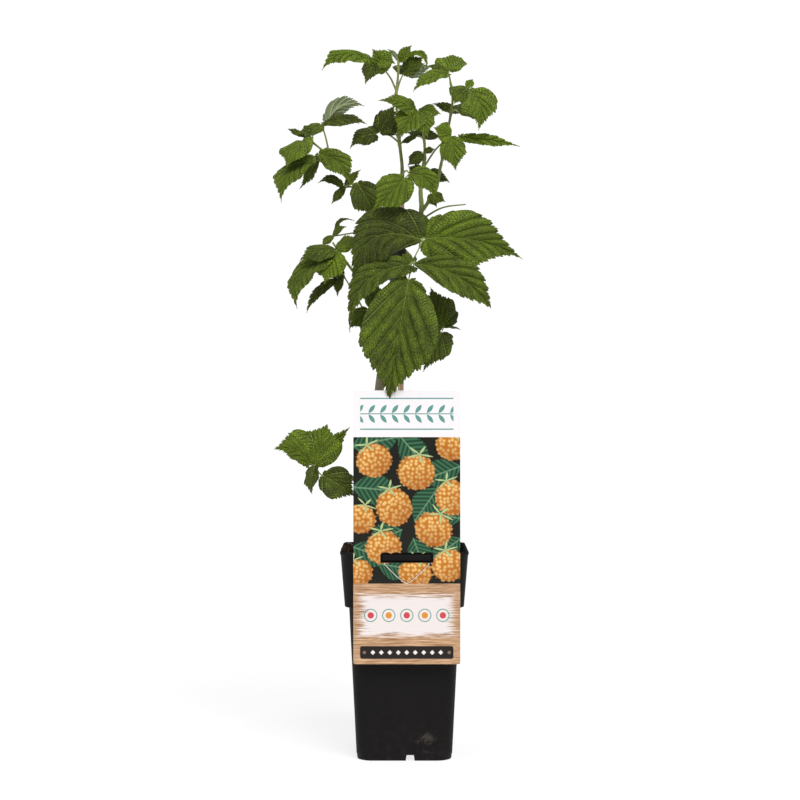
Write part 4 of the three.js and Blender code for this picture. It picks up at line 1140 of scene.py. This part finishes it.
def card_leaf(node, flat, under, foot, length, heading, breadth):
    """Prints a leaf over a colour: a half wave of breadth with a saw-toothed edge and leaning side veins."""
    local = node("Mapping TEXTURE", Vector=flat, Location=(*foot, 0), Rotation=(0, 0, np.radians(heading)),
                 Scale=(length, length, 1))
    x, y, _ = node("SeparateXYZ", local).outputs
    gap = node("Math ABSOLUTE", y)
    wave = node("MapRange", x, 0.0, 1.0, 0.0, np.pi)
    saw = node("Math PINGPONG", x, 0.035)
    widest = node("Math ADD", saw, breadth)
    half = node("Math MULTIPLY", node("Math SINE", wave), widest)
    inside = node("Math LESS_THAN", gap, half)
    leaning = node("Math MULTIPLY_ADD", gap, -0.7, x)
    pleat = node("Math PINGPONG", leaning, 0.055)
    lit = node("MapRange", pleat, 0.0, 0.055)
    green = node("Mix RGBA", lit, "#12291d", "#38704d")
    midrib = node("MapRange", gap, 0.0, 0.025, 0.7, 0.0)
    ribbed = node("Mix RGBA", midrib, green, "#7fa681")
    return node("Mix RGBA", inside, under, ribbed)


def card_berry(node, flat, under, drupes, middle, half_width, half_height, tilt):
    """Prints a berry over a colour: an ellipse of round drupes, lit from above, under a star of sepals."""
    turn = np.radians(tilt)
    local = node("Mapping TEXTURE", Vector=flat, Location=(*middle, 0), Rotation=(0, 0, turn),
                 Scale=(half_width, half_height, 1))
    out = node("VectorMath LENGTH", local)
    bumpy = node("Math MULTIPLY_ADD", drupes, -0.09, out)
    inside = node("MapRange", bumpy, 0.93, 0.98, 1.0, 0.0)
    flesh = node("Mix RGBA", drupes, "#c47a22", "#f6cd82")
    facing = node("VectorMath DOT_PRODUCT", local, (-0.35, 0.8, 0))
    away = node("MapRange", facing, -0.9, 0.5, 0.75, 0.0)
    rim = node("MapRange", out, 0.65, 1.0, 0.0, 0.6)
    shade = node("Math MAXIMUM", away, rim)
    fruit = node("Mix RGBA", shade, flesh, "#9a4f0e")
    berry = node("Mix RGBA", inside, under, fruit)
    crown = (middle[0] - half_height * np.sin(turn), middle[1] + half_height * np.cos(turn), 0)
    star = node("Mapping TEXTURE", Vector=flat, Location=crown, Rotation=(0, 0, turn),
                Scale=(0.75 * half_width, 0.5 * half_width, 1))
    x, y, _ = node("SeparateXYZ", star).outputs
    angle = node("Math ARCTAN2", y, x)
    spokes = node("Math PINGPONG", node("Math MULTIPLY", angle, SEPALS / CIRCLE), 0.5)
    reach = node("MapRange", spokes, 0.0, 0.25, 1.0, 0.15)
    span = node("VectorMath LENGTH", star)
    sepal = node("Math LESS_THAN", span, reach)
    calyx = node("Mix RGBA", spokes, "#b3c58a", "#4d6b3a")
    return node("Mix RGBA", sepal, berry, calyx)


def card_header(node, x, z):
    """The card's head: a garland of leaves leaning out of a stalk, between two rules."""
    within = node("Math COMPARE", x, 0.0, GARLAND_HALF)
    away = node("Math ABSOLUTE", node("Math SUBTRACT", z, GARLAND_MIDDLE))
    rules = node("Math COMPARE", away, RULE_OFFSET, 0.6)
    stalk_line = node("Math COMPARE", away, 0.0, 0.45)
    cell = node("Math WRAP", x, SPRIG_PITCH / 2, -SPRIG_PITCH / 2)
    rise = node("Math SUBTRACT", away, SPRIG_RISE)
    lean = node("Math MULTIPLY_ADD", cell, 0.6, node("Math MULTIPLY", rise, 0.8))
    slant = node("Math MULTIPLY_ADD", cell, 0.8, node("Math MULTIPLY", rise, -0.6))
    taper = node("Math POWER", node("Math MULTIPLY", lean, 1 / SPRIG_HALF_LENGTH), 2.0)
    breadth = node("Math MULTIPLY_ADD", taper, -SPRIG_HALF_WIDTH, SPRIG_HALF_WIDTH)
    sprig = node("Math LESS_THAN", node("Math ABSOLUTE", slant), breadth)
    inked = node("Math MAXIMUM", rules, node("Math MAXIMUM", stalk_line, sprig))
    return node("Mix RGBA", node("Math MULTIPLY", inked, within), "#f0ecee", TEAL)


def card_foot(node, place, x, z):
    """The card's foot: wood, a brushed panel with a row of ringed dots, and a riveted plate of diamonds."""
    along = node("Mapping", Vector=place, Scale=(0.05, 1.0, 1.0))
    grain = node("TexNoise", Vector=along, Scale=per(1.2), Detail=8.0, Roughness=0.65)
    streak = node("MapRange", grain, 0.32, 0.66)
    wood = node("Mix RGBA", streak, "#7d5232", "#dfb78f")
    side = node("Math ABSOLUTE", x)
    level = node("Math ABSOLUTE", node("Math SUBTRACT", z, PANEL_MIDDLE))
    to_side = node("Math SUBTRACT", PANEL_HALF_WIDTH, side)
    to_edge = node("Math MULTIPLY_ADD", level, -1.6, 1.6 * PANEL_HALF_HEIGHT)
    inset = node("Math MINIMUM", to_side, to_edge)
    bristled = node("Math MULTIPLY_ADD", grain, 44.0, inset)
    paint = node("MapRange", bristled, 24.0, 31.0, 0.0, 0.95)
    painted = node("Mix RGBA", paint, wood, "#e9e0de")

    cell = node("Math WRAP", x, DOT_PITCH / 2, -DOT_PITCH / 2)
    out = node("VectorMath LENGTH", node("CombineXYZ", cell, level))
    row = node("Math LESS_THAN", side, ROW_HALF_LENGTH)
    ring = node("Math COMPARE", out, RING_RADIUS, 0.45)
    dot = node("Math LESS_THAN", out, DOT_RADIUS)
    order = node("Math FLOORED_MODULO", node("Math ADD", x, DOT_PITCH / 2), 2 * DOT_PITCH)
    dot_ink = node("Mix RGBA", node("Math LESS_THAN", order, DOT_PITCH), "#d98f34", "#c8464e")
    ringed = node("Mix RGBA", node("Math MULTIPLY", ring, row), painted, TEAL)
    dotted = node("Mix RGBA", node("Math MULTIPLY", dot, row), ringed, dot_ink)

    height = node("Math ABSOLUTE", node("Math SUBTRACT", z, PLATE_MIDDLE))
    past_x = node("Math MAXIMUM", node("Math SUBTRACT", side, PLATE_HALF_WIDTH), 0.0)
    past_z = node("Math MAXIMUM", node("Math SUBTRACT", height, PLATE_HALF_HEIGHT), 0.0)
    corner = node("VectorMath LENGTH", node("CombineXYZ", past_x, past_z))
    plate = node("Math LESS_THAN", corner, PLATE_CORNER)
    to_rivet = node("CombineXYZ", node("Math SUBTRACT", side, RIVET_OFFSET), height)
    rivet = node("Math LESS_THAN", node("VectorMath LENGTH", to_rivet), RIVET_RADIUS)
    diamond_out = node("Math ADD", node("Math PINGPONG", x, DIAMOND_PITCH / 2), height)
    in_row = node("Math LESS_THAN", side, DIAMONDS_HALF_LENGTH)
    diamond = node("Math MULTIPLY", node("Math LESS_THAN", diamond_out, DIAMOND_HALF), in_row)
    blank = node("Mix RGBA", rivet, "#1d1512", "#7a6558")
    patterned = node("Mix RGBA", diamond, blank, "#e6dfdb")
    return node("Mix RGBA", plate, dotted, patterned)


def printed_card():
    """Coated card, offset printed: white board under a smooth varnish, so it has a soft even shine. The print
    is a garland, golden berries among leaves, and a painted panel on wood."""
    node, place, finish = start_material("coated card, offset printed", Specular_IOR_Level=0.3)
    across, _, z = node("SeparateXYZ", node("VectorMath SCALE", place, 1 / MM)).outputs
    x = node("Math SUBTRACT", across, CARD_MIDDLE)
    flat = node("CombineXYZ", x, z)

    gloom = node("TexNoise", Vector=place, Scale=per(16), Detail=4.0)
    picture = node("Mix RGBA", gloom, "#050403", "#1b1c11")
    for foot_x, foot_z, *shape in CARD_LEAVES:
        picture = card_leaf(node, flat, picture, (foot_x, foot_z), *shape)
    cells = node("TexVoronoi", Vector=flat, Scale=1 / DRUPE_SIZE, Randomness=0.7)
    cells.voronoi_dimensions = "2D"
    drupes = node("MapRange SMOOTHSTEP", cells, 0.08, 0.6, 1.0, 0.0)
    for middle_x, middle_z, *shape in CARD_BERRIES:
        picture = card_berry(node, flat, picture, drupes, (middle_x, middle_z), *shape)

    above = node("Math GREATER_THAN", z, PICTURE_FOOT)
    lower = node("Mix RGBA", above, card_foot(node, place, x, z), picture)
    top = node("Math GREATER_THAN", z, HEADER_FOOT)
    print_colour = node("Mix RGBA", top, lower, card_header(node, x, z))

    # Along the slit the cut edge of the board shows white.
    climb = node("MapRange", z, SLIT_APEX, SLIT_TOP)
    bow = node("Math MULTIPLY", node("Math POWER", climb, 0.5), SLIT_BOW)
    slit_x = node("Math MULTIPLY_ADD", climb, SLIT_STRAIGHT, bow)
    by_slit = node("Math COMPARE", node("Math ABSOLUTE", x), slit_x, SLIT_EDGE)
    slit_half = (SLIT_TOP - SLIT_APEX) / 2
    slit_span = node("Math COMPARE", z, SLIT_APEX + slit_half, slit_half + SLIT_EDGE)
    bare = node("Math MULTIPLY", by_slit, slit_span)
    front_print = node("Mix RGBA", bare, print_colour, "#e8e4de")

    fibres = node("TexNoise", Vector=place, Scale=per(1.5), Detail=4.0)
    board = node("Mix RGBA", fibres, "#dedbd6", "#f2f0ec")
    facing = node("SeparateXYZ", node("NewGeometry").outputs["Normal"]).outputs["Y"]
    front = node("Math LESS_THAN", facing, -0.5)
    colour = node("Mix RGBA", front, board, front_print)
    rough = node("MapRange", front, 0.0, 1.0, 0.8, 0.38)
    bump = node("Bump", Height=fibres, Distance=0.05 * MM, Strength=0.3)
    return finish(Base_Color=colour, Roughness=rough, Normal=bump)


def studio_floor():
    """Opal acrylic light table, lit from below: white and matt, so that shadows on it are faint."""
    node, place, finish = start_material(
        "opal acrylic, lit from below", Specular_IOR_Level=0.1, Roughness=0.95, Emission_Color="#ffffff",
        Emission_Strength=0.8)
    haze = node("TexNoise", Vector=place, Scale=per(4), Detail=2.0)
    return finish(Base_Color=node("Mix RGBA", haze, "#7c7c7c", "#828282"))


# Green stems and leaves share these finishes.
upper_face = leaf_upper_face()
under_face = leaf_under_face()
stem_skin = green_stem()

stem_paths = {name: spline(plan.points, STEM_STEPS) for name, plan in STEMS.items()}
for order, (name, path) in enumerate(stem_paths.items()):
    chance = np.random.default_rng(STEM_SEED + order)
    if name == "cane":
        cane_parts = stem(name, path, chance, finishes=(0, 0, 1))
        make_piece("cane_with_bark", cane_parts, [cane_bark(), cut_cane()], [name])
    else:
        make_piece(name + "_stem", stem(name, path, chance), [stem_skin], [name])

for order, (name, plan) in enumerate(LEAVES.items()):
    blades = leaf(plan, stem_paths, np.random.default_rng(LEAF_SEED + order))
    make_piece(name + "_blades", blades, [upper_face, under_face, stem_skin], [name])

bare_start = at_height(stem_paths["shoot_middle"], BARE_STALK_HEIGHT)
bare_stalk = stalk(bare_start, [np.array(BARE_STALK_TIP, float)])
make_piece("bare_stalk", [bare_stalk], [stem_skin], ["bare_leaf_stalk"])

make_piece("bamboo_cane", stake_parts(), [bamboo()], ["bamboo_stake"])
make_piece("garden_tie", tie_parts(stem_paths["cane"]), [tie_plastic()], ["stake_tie"])
compost = compost_parts(np.random.default_rng(COMPOST_SEED))
compost_finishes = [peat_compost(), bark_crumb(), perlite()]
make_piece("compost_and_crumbs", compost, compost_finishes, ["compost"])
pot = make_piece("square_pot", pot_parts(), [pot_plastic()], ["pot"])
cut_notches(pot)

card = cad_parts["picture_card"]
card.data.materials.clear()
card.data.materials.append(printed_card())

floor_mesh = bpy.data.meshes.new("studio_floor")
floor_corners = [(x * FLOOR_HALF, y * FLOOR_HALF, 0) for x, y in ((-1, -1), (1, -1), (1, 1), (-1, 1))]
floor_mesh.from_pydata(floor_corners, [], [(0, 1, 2, 3)])
floor_mesh.materials.append(studio_floor())
floor = new_object("studio_floor", floor_mesh)
floor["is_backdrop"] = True

# Light from wide diffusers, alike all over the floor.
for name, direction, angle, strength in LAMPS:
    lamp_data = bpy.data.lights.new(name, "SUN")
    lamp_data.angle = np.radians(angle)
    lamp_data.energy = strength
    lamp = new_object(name, lamp_data)
    lamp.rotation_euler = Vector(direction).to_track_quat("Z", "Y").to_euler()

world = bpy.data.worlds.new("white_studio")
world.use_nodes = True
world.node_tree.nodes.clear()
sky = partial(add, world.node_tree)
glow = sky("MapRange", sky("LightPath").outputs["Is Camera Ray"], 0.0, 1.0, 0.22, 1.05)
sky("OutputWorld", Surface=sky("Background", Color="#ffffff", Strength=glow))
bpy.context.scene.world = world
bpy.context.scene.view_settings.view_transform = "Standard"

camera_data = bpy.data.cameras.new("photo_camera")
camera_data.lens = CAMERA_LENS
camera = new_object("photo_camera", camera_data)
camera.location = CAMERA_PLACE
camera.rotation_euler = (QUARTER, 0, 0)
bpy.context.scene.camera = camera

boxes = {"cad": cad_box, "visual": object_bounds()}
plain = {name: [[float(value) for value in corner] for corner in box] for name, box in boxes.items()}
